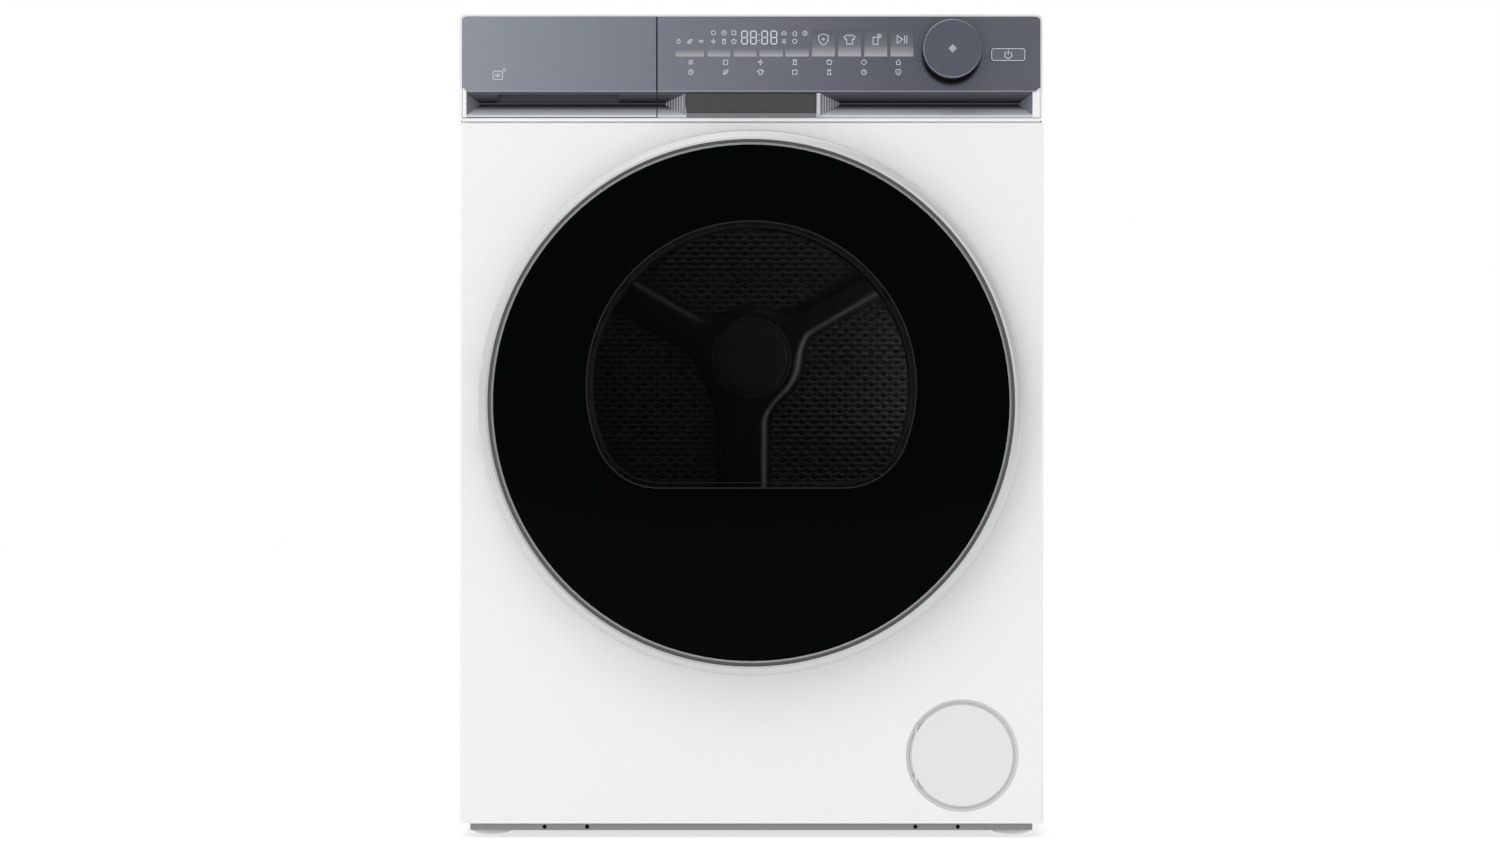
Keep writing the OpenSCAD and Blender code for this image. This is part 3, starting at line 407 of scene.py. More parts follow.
LIGHT_PLASTIC = surface("light_grey_plastic", (0.58, 0.585, 0.59), 0.5, grain=1400, shade=0.03, bump=0.08)
TANK_PLASTIC = surface("tank_plastic", (0.82, 0.85, 0.87), 0.3, grain=300, shade=0.03, bump=0.03,
                       coat=0.2)
BOARD = surface("circuit_board", (0.02, 0.13, 0.05), 0.35, grain=700, shade=0.3, bump=0.2)
GALVANISED = surface("galvanised_steel", (0.55, 0.57, 0.58), 0.42, metallic=0.85, grain=160,
                     shade=0.07, bump=0.03, rough_spread=0.1)
STEEL = surface("steel", (0.52, 0.53, 0.54), 0.32, metallic=1.0, grain=1500, shade=0.08, bump=0.05)
DRUM_STEEL = surface("drum_steel", (0.50, 0.51, 0.515), 0.34, metallic=1.0, grain=1800, shade=0.08,
                     bump=0.05, stretch=(1, 0.1, 1))
CASTING = surface("motor_casting", (0.42, 0.43, 0.44), 0.55, metallic=0.7, grain=600, shade=0.12,
                  bump=0.3)
BLACK_STEEL = surface("black_steel", (0.03, 0.03, 0.033), 0.35, grain=900, shade=0.2, bump=0.1, coat=0.3)
FINS = surface("coil_aluminium", (0.60, 0.62, 0.63), 0.35, metallic=0.95, grain=1200, shade=0.08,
               stretch=(1, 1, 0.2))
COPPER = surface("coil_copper", (0.58, 0.30, 0.17), 0.35, metallic=0.95, grain=1200, shade=0.12)
BRONZE = surface("bronze", (0.50, 0.34, 0.16), 0.4, metallic=0.9, grain=2500, shade=0.15, bump=0.2)
SEAL_RUBBER = surface("seal_rubber", (0.045, 0.045, 0.046), 0.62, grain=1300, shade=0.12, bump=0.15)
BELT_RUBBER = surface("belt_rubber", (0.02, 0.02, 0.02), 0.65, grain=900, shade=0.2, bump=0.3,
                      stretch=(0.2, 3, 0.2))
FELT = surface("felt", (0.30, 0.29, 0.28), 0.95, grain=1800, shade=0.25, bump=0.8)
OLIVE = surface("olive_plate", (0.058, 0.061, 0.059), 0.32, grain=1600, shade=0.05, bump=0.03,
                specular=0.4, large_shade=0.02)
# A painted highlight: a lighter line on the glass for the lit edge of the window's rim
RIM_PAINTED_HIGHLIGHT = surface("glass_line_painted_highlight", (0.019, 0.021, 0.021), 0.4, grain=1500, shade=0.1, specular=0.1)
LINE_DARK = surface("glass_line_dark", (0.006, 0.0075, 0.0075), 0.4, grain=1500, shade=0.1, specular=0.1)
# Light grey of the recess ribs and the post: painted highlight
RIB_PAINTED_HIGHLIGHT = surface("rib_painted_highlight", (0.60, 0.61, 0.64), 0.4, metallic=0.3, grain=2000, shade=0.05)
# Lip below the centre plate: painted highlight
LIP_PAINTED_HIGHLIGHT = surface("lip_painted_highlight", (0.22, 0.222, 0.235), 0.34, metallic=0.3, grain=2000, shade=0.03,
                stretch=(0.05, 1, 1))
# The print glows a little though it is no lamp: painted light that keeps it bright
PRINT = surface("light_print", (0.55, 0.565, 0.60), 0.5, grain=3000, shade=0.05, bump=0.0, glow=0.22)
DIGIT = surface("display_digit", (0.56, 0.575, 0.605), 0.5, grain=3000, shade=0.04, bump=0.0, glow=0.22)
# Near-black inside the base bar's holes: painted shade
HOLE_PAINTED_SHADE = surface("hole_painted_shade", (0.002, 0.002, 0.002), 0.9, grain=900, specular=0.02)

FINISH = {
    "white_enamel": ENAMEL, "white_plastic": WHITE_PLASTIC, "slate_metal": SLATE,
    "knob_metal": KNOB_METAL, "olive_plate": OLIVE, "satin_silver": SILVER,
    "black_glass": BLACK_GLASS, "clear_glass": CLEAR_GLASS, "dark_plastic": DARK_PLASTIC,
    "grey_plastic": GREY_PLASTIC, "light_grey_plastic": LIGHT_PLASTIC, "tank_plastic": TANK_PLASTIC,
    "circuit_board": BOARD, "galvanised_steel": GALVANISED, "steel": STEEL, "drum_steel": DRUM_STEEL,
    "motor_casting": CASTING, "black_steel": BLACK_STEEL, "coil_aluminium": FINS,
    "coil_copper": COPPER, "bronze": BRONZE, "seal_rubber": SEAL_RUBBER, "belt_rubber": BELT_RUBBER,
    "felt": FELT,
    "key_lens": graded("key_lens", key_low[2], key_high[2], (0.38, 0.39, 0.42), (0.108, 0.116, 0.138)),
}

SLATE_PLATE = plate_metal()
NODE_FINISH = {"control_plate": SLATE_PLATE, "tank_front": SLATE_PLATE, "service_flap": FLAP_WHITE,
               "foot_front_left": FOOT_RUBBER, "foot_front_right": FOOT_RUBBER,
               "foot_rear_left": FOOT_RUBBER, "foot_rear_right": FOOT_RUBBER}

for row in frame["record"]["subparts"]:
    cad = nodes[row["node"]]
    cad.data.materials.clear()
    cad.data.materials.append(NODE_FINISH.get(row["node"], FINISH[row["material_slot"]]))


def soften(node, width):
    """Small round on a CAD node's sharp edges, as a pressing or moulding has."""
    cad = nodes[node]
    weld = cad.modifiers.new("weld", "WELD")
    weld.merge_threshold = 1e-6
    bevel = cad.modifiers.new("edge_round", "BEVEL")
    bevel.width = width
    bevel.segments = 2
    bevel.limit_method = "ANGLE"
    bevel.angle_limit = math.radians(40)
    bevel.harden_normals = True


for node_name, edge in (("top_cover", 1.2), ("front_panel", 0.3), ("fascia_frame", 0.5),
                        ("control_plate", 0.4), ("tank_front", 0.4), ("power_button", 0.3),
                        ("centre_plate", 0.4), ("side_panel_left", 0.3), ("side_panel_right", 0.3),
                        ("rear_duct_cover", 0.6), ("base_pan", 0.8)):
    soften(node_name, edge * MM)


# ---------------------------------------------------------------- loading-opening outline

LOAD_EDGE = 1.3 * MM
LOAD_R = (window_high[0] - window_low[0]) / 2 + LOAD_EDGE
LOAD_Z = window_high[2] + LOAD_EDGE - LOAD_R
LOAD_DROP = LOAD_Z - window_low[2] + LOAD_EDGE


def load_outline(grow, foot=0.0, corner=45 * MM, upper=60, lower=10):
    """The flattened circle of the loading opening, made larger by grow, with its foot raised by foot."""
    radius, drop, corner = LOAD_R + grow, LOAD_DROP + grow - foot, corner + grow
    cx = math.sqrt((radius - corner) ** 2 - (drop - corner) ** 2)
    turn = math.degrees(math.atan2(corner - drop, cx))
    points = arc((0, LOAD_Z), radius, turn, 180 - turn, upper)
    points += arc((-cx, LOAD_Z - drop + corner), corner, 180 - turn, 270, lower)[1:]
    points += [(cx * (i / 12 - 1), LOAD_Z - drop) for i in range(1, 24)]
    points += arc((cx, LOAD_Z - drop + corner), corner, 270, 360 + turn, lower)[:-1]
    return points


# ---------------------------------------------------------------- door

def view_outline(grow):
    """The clear view through the glass: the loading opening with a higher, rounder foot."""
    return load_outline(grow, 9 * MM, 66 * MM, 72, 16)


def door_glass():
    """Black glass: a printed border round a tinted middle."""
    back = GLASS_Y + 4 * MM
    inner = view_outline(0.5 * MM)
    angles = [math.atan2(z - DOOR[2], x) for x, z in inner]
    verts = [(x, GLASS_Y, z) for x, z in inner]
    for radius, y in ((0.985 * GLASS_R, GLASS_Y), (GLASS_R - 0.8 * MM, GLASS_Y + 0.25 * MM),
                      (GLASS_R, GLASS_Y + 1.2 * MM), (GLASS_R, back), (0.985 * GLASS_R, back)):
        verts += [(radius * math.cos(a), y, DOOR[2] + radius * math.sin(a)) for a in angles]
    verts += [(x, back, z) for x, z in inner]
    border = verts, ring_faces(len(verts) // len(inner), len(inner))
    piece("glass_border", border, BLACK_GLASS, "door", replaces=("door_glass",))
    middle_pane = prism(view_outline(0.45 * MM), GLASS_Y, back)
    piece("glass_centre", middle_pane, TINTED_GLASS, "door", replaces=("door_glass",))


def ring_bands():
    """Dark groove and grey lip between the silver ring and the glass."""
    y, r = ring_low[1], GLASS_R
    lip = [(r + 0.35 * MM, y + 1.2 * MM), (r + 0.9 * MM, y + 0.7 * MM), (r + 1.7 * MM, y + 0.7 * MM),
           (r + 2.2 * MM, y + 1.1 * MM), (r + 2.2 * MM, y + 3.6 * MM), (r + 0.35 * MM, y + 3.6 * MM)]
    piece("ring_lip", lathe(lip, DOOR, 240), LIP_GREY, "door")
    floor = [(r + 2.1 * MM, y + 2.9 * MM), (r + 5.9 * MM, y + 2.9 * MM),
             (r + 5.9 * MM, y + 3.6 * MM), (r + 2.1 * MM, y + 3.6 * MM)]
    piece("ring_groove", lathe(floor, DOOR, 240), GROOVE, "door")


def window_rims():
    """Beads round the inner window and the loading opening, with a painted highlight line on the glass
    along the rim and a darker line inside it.
    """
    y = window_low[1]
    bead = [(-1.5 * MM, y - 1.2 * MM), (0, y - 2.4 * MM), (2.5 * MM, y - 2.4 * MM),
            (4 * MM, y - 1 * MM), (4 * MM, y + 0.5 * MM), (-1.5 * MM, y + 0.5 * MM)]
    piece("window_rim", sweep(load_outline(0), bead), DARK_PLASTIC, "door")
    for name, grow, width, finish in (("window_line_outer", 0.5, 1.1, RIM_PAINTED_HIGHLIGHT),
                                      ("window_line_inner", -5.0, 0.9, LINE_DARK)):
        line = ribbon(view_outline(grow * MM), width * MM, GLASS_Y - 0.05 * MM, GLASS_Y + 0.3 * MM, True)
        piece(name, line, finish, "door")


door_glass()
ring_bands()
window_rims()


# ---------------------------------------------------------------- drum

def smooth(value):
    """0 to 1 with a soft start and end."""
    t = np.clip(value, 0, 1)
    return t * t * (3 - 2 * t)


# Direction of each raised arm in degrees, and how far it reaches to its left and right in millimetres
DRUM_ARMS = ((30, 13, 3), (150, 20, 2), (270, 10, 29))


def drum_back():
    """Pressed rear wall: three raised arms, a raised middle and fields of small pressed pockets."""
    step = 1.6 * MM
    rim = DRUM_R - 0.5 * MM
    base = wall_high[1] - 0.7 * MM
    slope, corner = 11 * MM, 30 * MM
    hub_reach, field_out = 51 * MM, rim - 6 * MM
    arm_lift, rim_lift = 13 * MM, 5 * MM
    pitch_x, pitch_z = 15 * MM, 13 * MM
    pocket_w, pocket_h = 4.6 * MM, 1.9 * MM
    pocket_depth, pocket_rim = 2.2 * MM, 0.7 * MM
    cells = int(rim / step) + 1
    ticks = np.arange(-cells, cells + 1) * step
    x, z = np.meshgrid(ticks, ticks, indexing="ij")
    radius = np.hypot(x, z)
    to_arm = np.full_like(x, 1.0)
    for degrees, left, right in DRUM_ARMS:
        c, s = math.cos(math.radians(degrees)), math.sin(math.radians(degrees))
        along, across = x * c + z * s, -x * s + z * c
        beside = np.maximum(across - left * MM, -across - right * MM)
        to_arm = np.minimum(to_arm, np.where(along > 0, beside, 1.0))

    def rounded(a, b):
        """The nearer of two edges, with a round corner where they meet."""
        u, v = np.maximum(corner - a, 0), np.maximum(corner - b, 0)
        return np.where((u > 0) | (v > 0), corner - np.hypot(u, v), np.minimum(a, b))

    # How far each point lies inside its field, and the raised shapes round the fields
    inside = rounded(to_arm, radius - hub_reach)
    outside = rounded(to_arm, field_out - radius)
    near_rim = (field_out - radius) < np.minimum(to_arm, radius - hub_reach)
    field = np.minimum(inside, outside)
    top = np.where(near_rim & (to_arm > 2 * slope), rim_lift, arm_lift)
    lift = top * (1 - smooth(field / slope))
    # Pockets in staggered rows, each with a fine raised rim
    row = np.round(z / (pitch_z / 2))
    off_x = (x / pitch_x + 0.5 * (row % 2) + 0.5) % 1 - 0.5
    off_z = z - row * pitch_z / 2
    spot = np.hypot(off_x * pitch_x / pocket_w, off_z / pocket_h)
    amount = smooth((field - slope - 1 * MM) / (3 * MM))
    pocket = smooth(1.25 - spot) * amount
    rim_line = smooth(1.6 - np.abs(spot - 1.3) * 2.6) * amount
    slope_x = -np.gradient(lift, step, axis=0)
    slope_z = -np.gradient(lift, step, axis=1)
    towards = np.clip(slope_x / np.maximum(np.hypot(slope_x, slope_z), 0.05), 0.0, 1.0)
    lift = lift - pocket_depth * pocket + pocket_rim * rim_line
    # The grid inside the rim becomes the mesh
    keep = radius <= rim
    number = -np.ones(x.shape, dtype=int)
    number[keep] = np.arange(keep.sum())
    verts = np.stack([x[keep], base - lift[keep], DRUM[2] + z[keep]], axis=1)
    quad = keep[:-1, :-1] & keep[1:, :-1] & keep[1:, 1:] & keep[:-1, 1:]
    faces = np.stack([number[:-1, :-1][quad], number[1:, :-1][quad],
                      number[1:, 1:][quad], number[:-1, 1:][quad]], axis=1)
    wall = piece("drum_back_wall", (verts, [tuple(f) for f in faces.tolist()]), DRUM_BACK, "drum",
                 replaces=("drum_rear_wall",), smooth_deg=80)
    # Painted highlight on the slopes that face right and on the lower rims of the pockets
    edge = 0.55 * np.sin(np.pi * np.clip(field / slope, 0, 1)) ** 4 * (0.04 + 1.4 * towards)
    edge = np.clip(edge + 0.15 * rim_line * np.where(off_z < 0, 1.0, 0.3), 0, 1)
    for name, values in (("pocket", pocket), ("edge", edge)):
        layer = wall.data.attributes.new(name, "FLOAT", "POINT")
        layer.data.foreach_set("value", values[keep].astype(np.float32))


def drum_back_material():
    """Drum steel with painted shade in the open middle of each pocket and a painted highlight on its
    pressed edges.
    """
    material = surface("drum_back_steel", (0.017, 0.0175, 0.0175), 0.42, metallic=0.25, grain=1800,
                       shade=0.08, bump=0.05)
    tree = material.node_tree
    colour = tree.nodes["Principled BSDF"].inputs["Base Color"]
    pocket, edge = (add(tree, "ShaderNodeAttribute", {}, attribute_name=name).outputs["Fac"]
                    for name in ("pocket", "edge"))
    steel = colour.links[0].from_node.outputs["Color"]
    # Painted shade in the middle of each pocket, and a painted highlight where the edge value is high
    shadow = mix(tree, 1, steel, remap(tree, pocket, 0.55, 0.95, 1.0, 0.04), "MULTIPLY")
    tree.links.new(mix(tree, edge, shadow, (0.85, 0.86, 0.86, 1)), colour)
    return material


def hub_cap():
    """Domed cap over the drum's shaft."""
    y, back = hub_low[1], hub_high[1]
    profile = [(0, y + 1.5 * MM), (0.55 * HUB_R, y + 0.9 * MM), (0.80 * HUB_R, y + 0.4 * MM),
               (0.88 * HUB_R, y + 1.2 * MM), (0.91 * HUB_R, y + 2.6 * MM), (0.94 * HUB_R, y + 1.4 * MM),
               (0.985 * HUB_R, y + 2.2 * MM), (HUB_R, y + 4.5 * MM), (HUB_R, back), (0, back)]
    piece("hub_cap", lathe(profile, DRUM, 96), HUB_PLASTIC, "drum",
          replaces=("drum_hub_cap",))


DRUM_BACK = drum_back_material()
drum_back()
hub_cap()


# ---------------------------------------------------------------- knob, button and print

def diamond(x, z, reach):
    """(x, z) corners of a square standing on its corner."""
    return [(x + reach * a, z + reach * b) for a, b in ((1, 0), (0, 1), (-1, 0), (0, -1))]


def knob():
    """Turned knob with a fine light edge and grip lines round its side."""
    front, back = knob_low[1], knob_low[1] + 19.5 * MM
    face = [(0, front + 0.35 * MM), (KNOB_R - 1.7 * MM, front + 0.35 * MM),
            (KNOB_R - 1.7 * MM, front + 2 * MM), (0, front + 2 * MM)]
    piece("knob_face", lathe(face, KNOB, 120), KNOB_METAL, "knob",
          replaces=("program_knob",))
    grips = 72
    steps = grips * 4
    verts = []
    for i in range(steps):
        turn = 2 * math.pi * i / steps
        dip = 0.25 * MM * (0.5 - 0.5 * math.cos(turn * grips))
        for radius, y in ((KNOB_R - 0.35 * MM, front + 1.2 * MM), (KNOB_R - 0.35 * MM, front + 1.9 * MM),
                          (KNOB_R - 0.45 * MM - dip, front + 2.3 * MM),
                          (KNOB_R - 0.45 * MM - dip, back - 1.2 * MM), (KNOB_R - 1.1 * MM, back),
                          (KNOB_R - 9 * MM, back), (KNOB_R - 9 * MM, front + 1.2 * MM)):
            verts.append((KNOB[0] + radius * math.cos(turn), y, KNOB[2] + radius * math.sin(turn)))
    side = verts, ring_faces(steps, len(verts) // steps)
    # The side is finished in painted shade
    piece("knob_side_painted_shade", side, KNOB_SIDE_PAINTED_SHADE, "knob", replaces=("program_knob",))
    edge = [(KNOB_R - 1.9 * MM, front + 0.9 * MM), (KNOB_R - 1.8 * MM, front + 0.1 * MM),
            (KNOB_R - 1.1 * MM, front), (KNOB_R - 0.3 * MM, front + 0.3 * MM),
            (KNOB_R, front + 1.0 * MM), (KNOB_R - 0.2 * MM, front + 1.6 * MM)]
    piece("knob_edge", lathe(edge, KNOB, 120), KNOB_EDGE, "knob")
    mark = prism(diamond(KNOB[0], KNOB[2], 4.4 * MM), front + 0.1 * MM, front + 0.5 * MM)
    piece("knob_mark", mark, KNOB_MARK, "knob")


def print_depths(face_y):
    """Front and back of print on a face: a little proud of it, and sunk a little into it."""
    return face_y - 0.06 * MM, face_y + 0.2 * MM


PRINT_FRONT, PRINT_BACK = print_depths(PLATE_Y)


def segment(x, z, length, upright, width):
    """One bar of a seven-segment digit, pointed at both ends."""
    half, tip = length / 2, width / 2
    shape = [(-half, 0), (-half + tip, tip), (half - tip, tip), (half, 0), (half - tip, -tip),
             (-half + tip, -tip)]
    if upright:
        shape = [(-b, a) for a, b in shape]
    return [(x + a, z + b) for a, b in shape]


def display():
    """Four seven-segment eights with a colon."""
    bars = []
    digit_w, digit_h, bar = 5.8 * MM, 13.2 * MM, 1.05 * MM
    mid_z, colon_x = 820.45 * MM, 8.1 * MM
    for cx in (-6.9 * MM, 2.3 * MM, 13.7 * MM, 23.1 * MM):
        for dz in (-digit_h / 2, 0, digit_h / 2):
            bars.append(segment(cx, mid_z + dz, digit_w - 0.5 * MM, False, bar))
        for dx in (-digit_w / 2, digit_w / 2):
            for dz in (-digit_h / 4, digit_h / 4):
                bars.append(segment(cx + dx, mid_z + dz, digit_h / 2 - 0.6 * MM, True, bar))
    bars += [diamond(colon_x, mid_z + dz, 0.7 * MM) for dz in (-3 * MM, 3 * MM)]
    piece("display_digits", join([prism(b, PRINT_FRONT, PRINT_BACK) for b in bars]), DIGIT, "cabinet")


def option_tabs():
    """Five lit tabs under the display."""
    low, high = 801.0 * MM, 809.0 * MM
    material = graded("tab_glow", low, high, (0.40, 0.41, 0.44), (0.172, 0.181, 0.212), knee=0.7)
    edges = [(-77.8, -48.5), (-44.8, -21.4), (-18.0, 5.3), (8.4, 32.4), (34.9, 59.0)]
    tabs = join([prism(round_rect(a * MM, low, b * MM, high, 0.6 * MM, 3), PRINT_FRONT, PRINT_BACK)
                 for a, b in edges])
    piece("option_tabs", tabs, material, "cabinet")


def circle(cx, cz, r, count):
    """(x, z) points round a circle."""
    turns = [2 * math.pi * i / count for i in range(count)]
    return [(cx + r * math.cos(t), cz + r * math.sin(t)) for t in turns]


# Line drawings in a unit square, centre at the origin: lists of (points, closed) lines
GLYPHS = {
    "shield": [([(0, 0.5), (0.42, 0.34), (0.42, -0.05), (0.25, -0.34), (0, -0.5), (-0.25, -0.34),
                 (-0.42, -0.05), (-0.42, 0.34)], True), ([(-0.14, 0.02), (0.14, 0.02)], False),
               ([(0, -0.12), (0, 0.16)], False)],
    "shirt": [([(-0.16, 0.42), (-0.5, 0.22), (-0.38, -0.02), (-0.26, 0.06), (-0.26, -0.42), (0.26, -0.42),
                (0.26, 0.06), (0.38, -0.02), (0.5, 0.22), (0.16, 0.42), (0, 0.30)], True)],
    "phone": [([(-0.24, -0.45), (0.20, -0.45), (0.20, 0.20), (-0.24, 0.20)], True),
              ([(0.10, 0.34), (0.30, 0.30), (0.36, 0.10)], False),
              ([(0.16, 0.48), (0.44, 0.42), (0.50, 0.14)], False)],
    "play": [([(-0.42, 0.36), (0.06, 0.0), (-0.42, -0.36)], True), ([(0.24, 0.36), (0.24, -0.36)], False),
             ([(0.44, 0.36), (0.44, -0.36)], False)],
    "power": [(arc((0, -0.02), 0.36, 125, 415, 16), False), ([(0, 0.02), (0, 0.50)], False)],
    "circle": [(circle(0, 0, 0.4, 14), True)],
    "drop": [([(0, 0.48), (0.30, 0.02), (0.28, -0.24), (0, -0.44), (-0.28, -0.24), (-0.30, 0.02)], True)],
    "leaf": [([(-0.38, -0.38), (-0.30, 0.14), (0.10, 0.38), (0.42, 0.40), (0.36, 0.04),
               (0.06, -0.30)], True),
             ([(-0.38, -0.38), (0.18, 0.18)], False)],
    "clock": [(circle(0, 0, 0.42, 14), True), ([(0, 0.26), (0, 0), (0.20, 0)], False)],
    "square": [([(-0.36, -0.36), (0.36, -0.36), (0.36, 0.36), (-0.36, 0.36)], True)],
    "cloud": [([(-0.40, -0.24), (0.34, -0.24), (0.44, -0.02), (0.26, 0.12), (0.14, 0.34), (-0.16, 0.30),
                (-0.24, 0.08), (-0.44, 0.02)], True)],
    "vest": [([(-0.30, -0.42), (0.30, -0.42), (0.22, 0.06), (0.28, 0.42), (0.10, 0.42), (0, 0.22),
               (-0.10, 0.42), (-0.28, 0.42), (-0.22, 0.06)], True)],
    "spark": [([(0, 0.46), (0.10, 0.10), (0.46, 0), (0.10, -0.10), (0, -0.46), (-0.10, -0.10),
                (-0.46, 0), (-0.10, 0.10)], True)],
    "bars": [([(-0.38, 0.28), (0.38, 0.28)], False), ([(-0.38, 0), (0.38, 0)], False),
             ([(-0.38, -0.28), (0.38, -0.28)], False)],
    "house": [([(-0.40, 0.04), (0, 0.42), (0.40, 0.04), (0.30, 0.04), (0.30, -0.40), (-0.30, -0.40),
                (-0.30, 0.04)], True)],
    "wave": [([(-0.44, 0.12), (-0.24, 0.26), (0, 0.10), (0.24, 0.26), (0.44, 0.12)], False),
             ([(-0.44, -0.18), (-0.24, -0.04), (0, -0.20), (0.24, -0.04), (0.44, -0.18)], False)],
    "basket": [([(-0.44, 0.26), (0.44, 0.26), (0.30, -0.36), (-0.30, -0.36)], True),
               ([(-0.20, 0.26), (0, 0.46), (0.20, 0.26)], False)],
}


def glyph(name, x, z, size, width, front=PRINT_FRONT, back=PRINT_BACK):
    """Raised line drawing at x, z, size across."""
    return [ribbon([(x + a * size, z + b * size) for a, b in line], width, front, back, closed)
            for line, closed in GLYPHS[name]]


def icons():
    """Small generic marks printed on the control plate."""
    small, large, line_width = 5.4 * MM, 6.0 * MM, 0.55 * MM
    upper = [("drop", -74.4, 816.4), ("leaf", -63.0, 816.4), ("wave", -51.4, 816.4),
             ("circle", -38.9, 825.3), ("clock", -27.9, 825.3), ("square", -17.8, 825.3),
             ("spark", -38.9, 816.4), ("vest", -27.9, 816.4), ("basket", -17.8, 816.4),
             ("cloud", 33.5, 824.8), ("house", 44.6, 824.8), ("clock", 55.0, 824.8),
             ("bars", 33.5, 816.5), ("circle", 44.6, 816.5)]
    columns = [-62.0, -26.3, 9.4, 44.6, 79.9, 115.5, 150.7]
    first = ["bars", "square", "spark", "vest", "basket", "circle", "house"]
    second = ["clock", "leaf", "shirt", "square", "vest", "clock", "shield"]
    lower = [(name, x, 795.1) for name, x in zip(first, columns)]
    lower += [(name, x, 785.0) for name, x in zip(second, columns)]
    parts = []
    for size, marks in ((small, upper), (large, lower)):
        for name, x, z in marks:
            parts += glyph(name, x * MM, z * MM, size, line_width)
    piece("function_icons", join(parts), PRINT, "cabinet")


def key_icons():
    """The four marks on the large touch keys."""
    front, back = print_depths(key_low[1])
    key_w, mid_z = 23.7 * MM, 818.5 * MM
    pitch = (key_high[0] - key_low[0] - key_w) / 3
    parts = []
    for i, name in enumerate(("shield", "shirt", "phone", "play")):
        parts += glyph(name, key_low[0] + key_w / 2 + i * pitch, mid_z, 11.5 * MM, 0.62 * MM, front, back)
    piece("key_icons", join(parts), PRINT, "cabinet")


def power_print():
    """Outline and mark on the power button."""
    front, back = print_depths(button_low[1])
    mid_x, mid_z = ((button_low[axis] + button_high[axis]) / 2 for axis in (0, 2))
    half_w, half_h = 17.0 * MM, 6.1 * MM
    outline = round_rect(mid_x - half_w, mid_z - half_h, mid_x + half_w, mid_z + half_h, 2.4 * MM, 5)
    parts = [ribbon(outline, 0.6 * MM, front, back, True)]
    parts += glyph("power", mid_x, mid_z - 0.2 * MM, 10 * MM, 0.7 * MM, front, back)
    piece("power_print", join(parts), PRINT, "start_button")


def drawer_print():
    """A basin and a drop on the water tank's front."""
    basin = round_rect(-264.5 * MM, 777.5 * MM, -255 * MM, 786 * MM, 1.5 * MM, 4)
    parts = [ribbon(basin, 0.6 * MM, PRINT_FRONT, PRINT_BACK, True)]
    parts += glyph("wave", -259.8 * MM, 781.5 * MM, 5.5 * MM, 0.6 * MM)
    parts += glyph("drop", -253 * MM, 787.5 * MM, 3.5 * MM, 0.5 * MM)
    piece("drawer_print", join(parts), PRINT, "water_tank")


knob()
display()
option_tabs()
icons()
key_icons()
power_print()
drawer_print()


# ---------------------------------------------------------------- grip recesses

def recess_ribs():
    """Fine upright ribs on the sloping inner ends of both grip recesses, made light by a painted
    highlight, and a flat post at the right end of the centre plate that is a painted highlight. Sizes in
    millimetres; each rib is as high as the recess at its depth."""
    half_width, proud, sunk, gap, count = 0.35, 0.35, 0.5, 0.3, 7
    y_front, y_reach = -291, 17.5
    floor_z, floor_rise = 741, 12.2 / 18.5
    roof_z, roof_fall = 764, 8.8 / 19
    parts = []
    for x_front, x_back in ((71.0, 92.0), (-67.6, -90.0)):
        for i in range(1, count + 1):
            t = i / (count + 1)
            x = x_front + (x_back - x_front) * t
            y = y_front + y_reach * t
            low = floor_z + max(0, (y + 291.5) * floor_rise)
            high = roof_z - max(0, (y + 292) * roof_fall)
            verts = [((x + a) * MM, (y + b) * MM, z * MM) for z in (low + gap, high - gap)
                     for a, b in ((-half_width, sunk), (half_width, sunk), (half_width, -proud),
                                  (-half_width, -proud))]
            faces = [(0, 1, 2, 3), (7, 6, 5, 4), (0, 4, 5, 1), (1, 5, 6, 2), (2, 6, 7, 3), (3, 7, 4, 0)]
            parts.append((verts, faces))
    parts.append(prism(rectangle(67.0, 741.4, 70.8, 763.4), PRINT_FRONT, PRINT_BACK))
    piece("recess_ribs", join(parts), RIB_PAINTED_HIGHLIGHT, "cabinet")


def centre_strip():
    """Lip below the dark centre plate, made lighter by a painted highlight."""
    y = PLATE_Y + 1.7 * MM
    outline = rectangle(centre_low[0] / MM, 738.9, centre_high[0] / MM, 742.6)
    piece("centre_strip", prism(outline, y, y + 0.6 * MM), LIP_PAINTED_HIGHLIGHT, "cabinet")


def recess_cheeks():
    """White cheeks beside the grip recess, and the white behind the plate's round corners."""
    front, back = PLATE_Y + 1.3 * MM, PLATE_Y + 1.95 * MM
    for name, x0, x1, body in (("recess_cheek_left", -296.0, -292.1, "water_tank"),
                               ("recess_cheek_right", 288.4, 296.0, "cabinet")):
        cheeks = join([prism(rectangle(x0, z0, x1, z1), front, back)
                       for z0, z1 in ((738.6, 769), (837.8, 842))])
        piece(name, cheeks, WHITE_PLASTIC, body)


recess_ribs()
recess_cheeks()
centre_strip()


# ---------------------------------------------------------------- service flap and base

FLAP_HINGE = -47 * MM
TONGUE_RIM = FLAP_R + 1.9 * MM
FLAP_GAP = 0.25 * MM


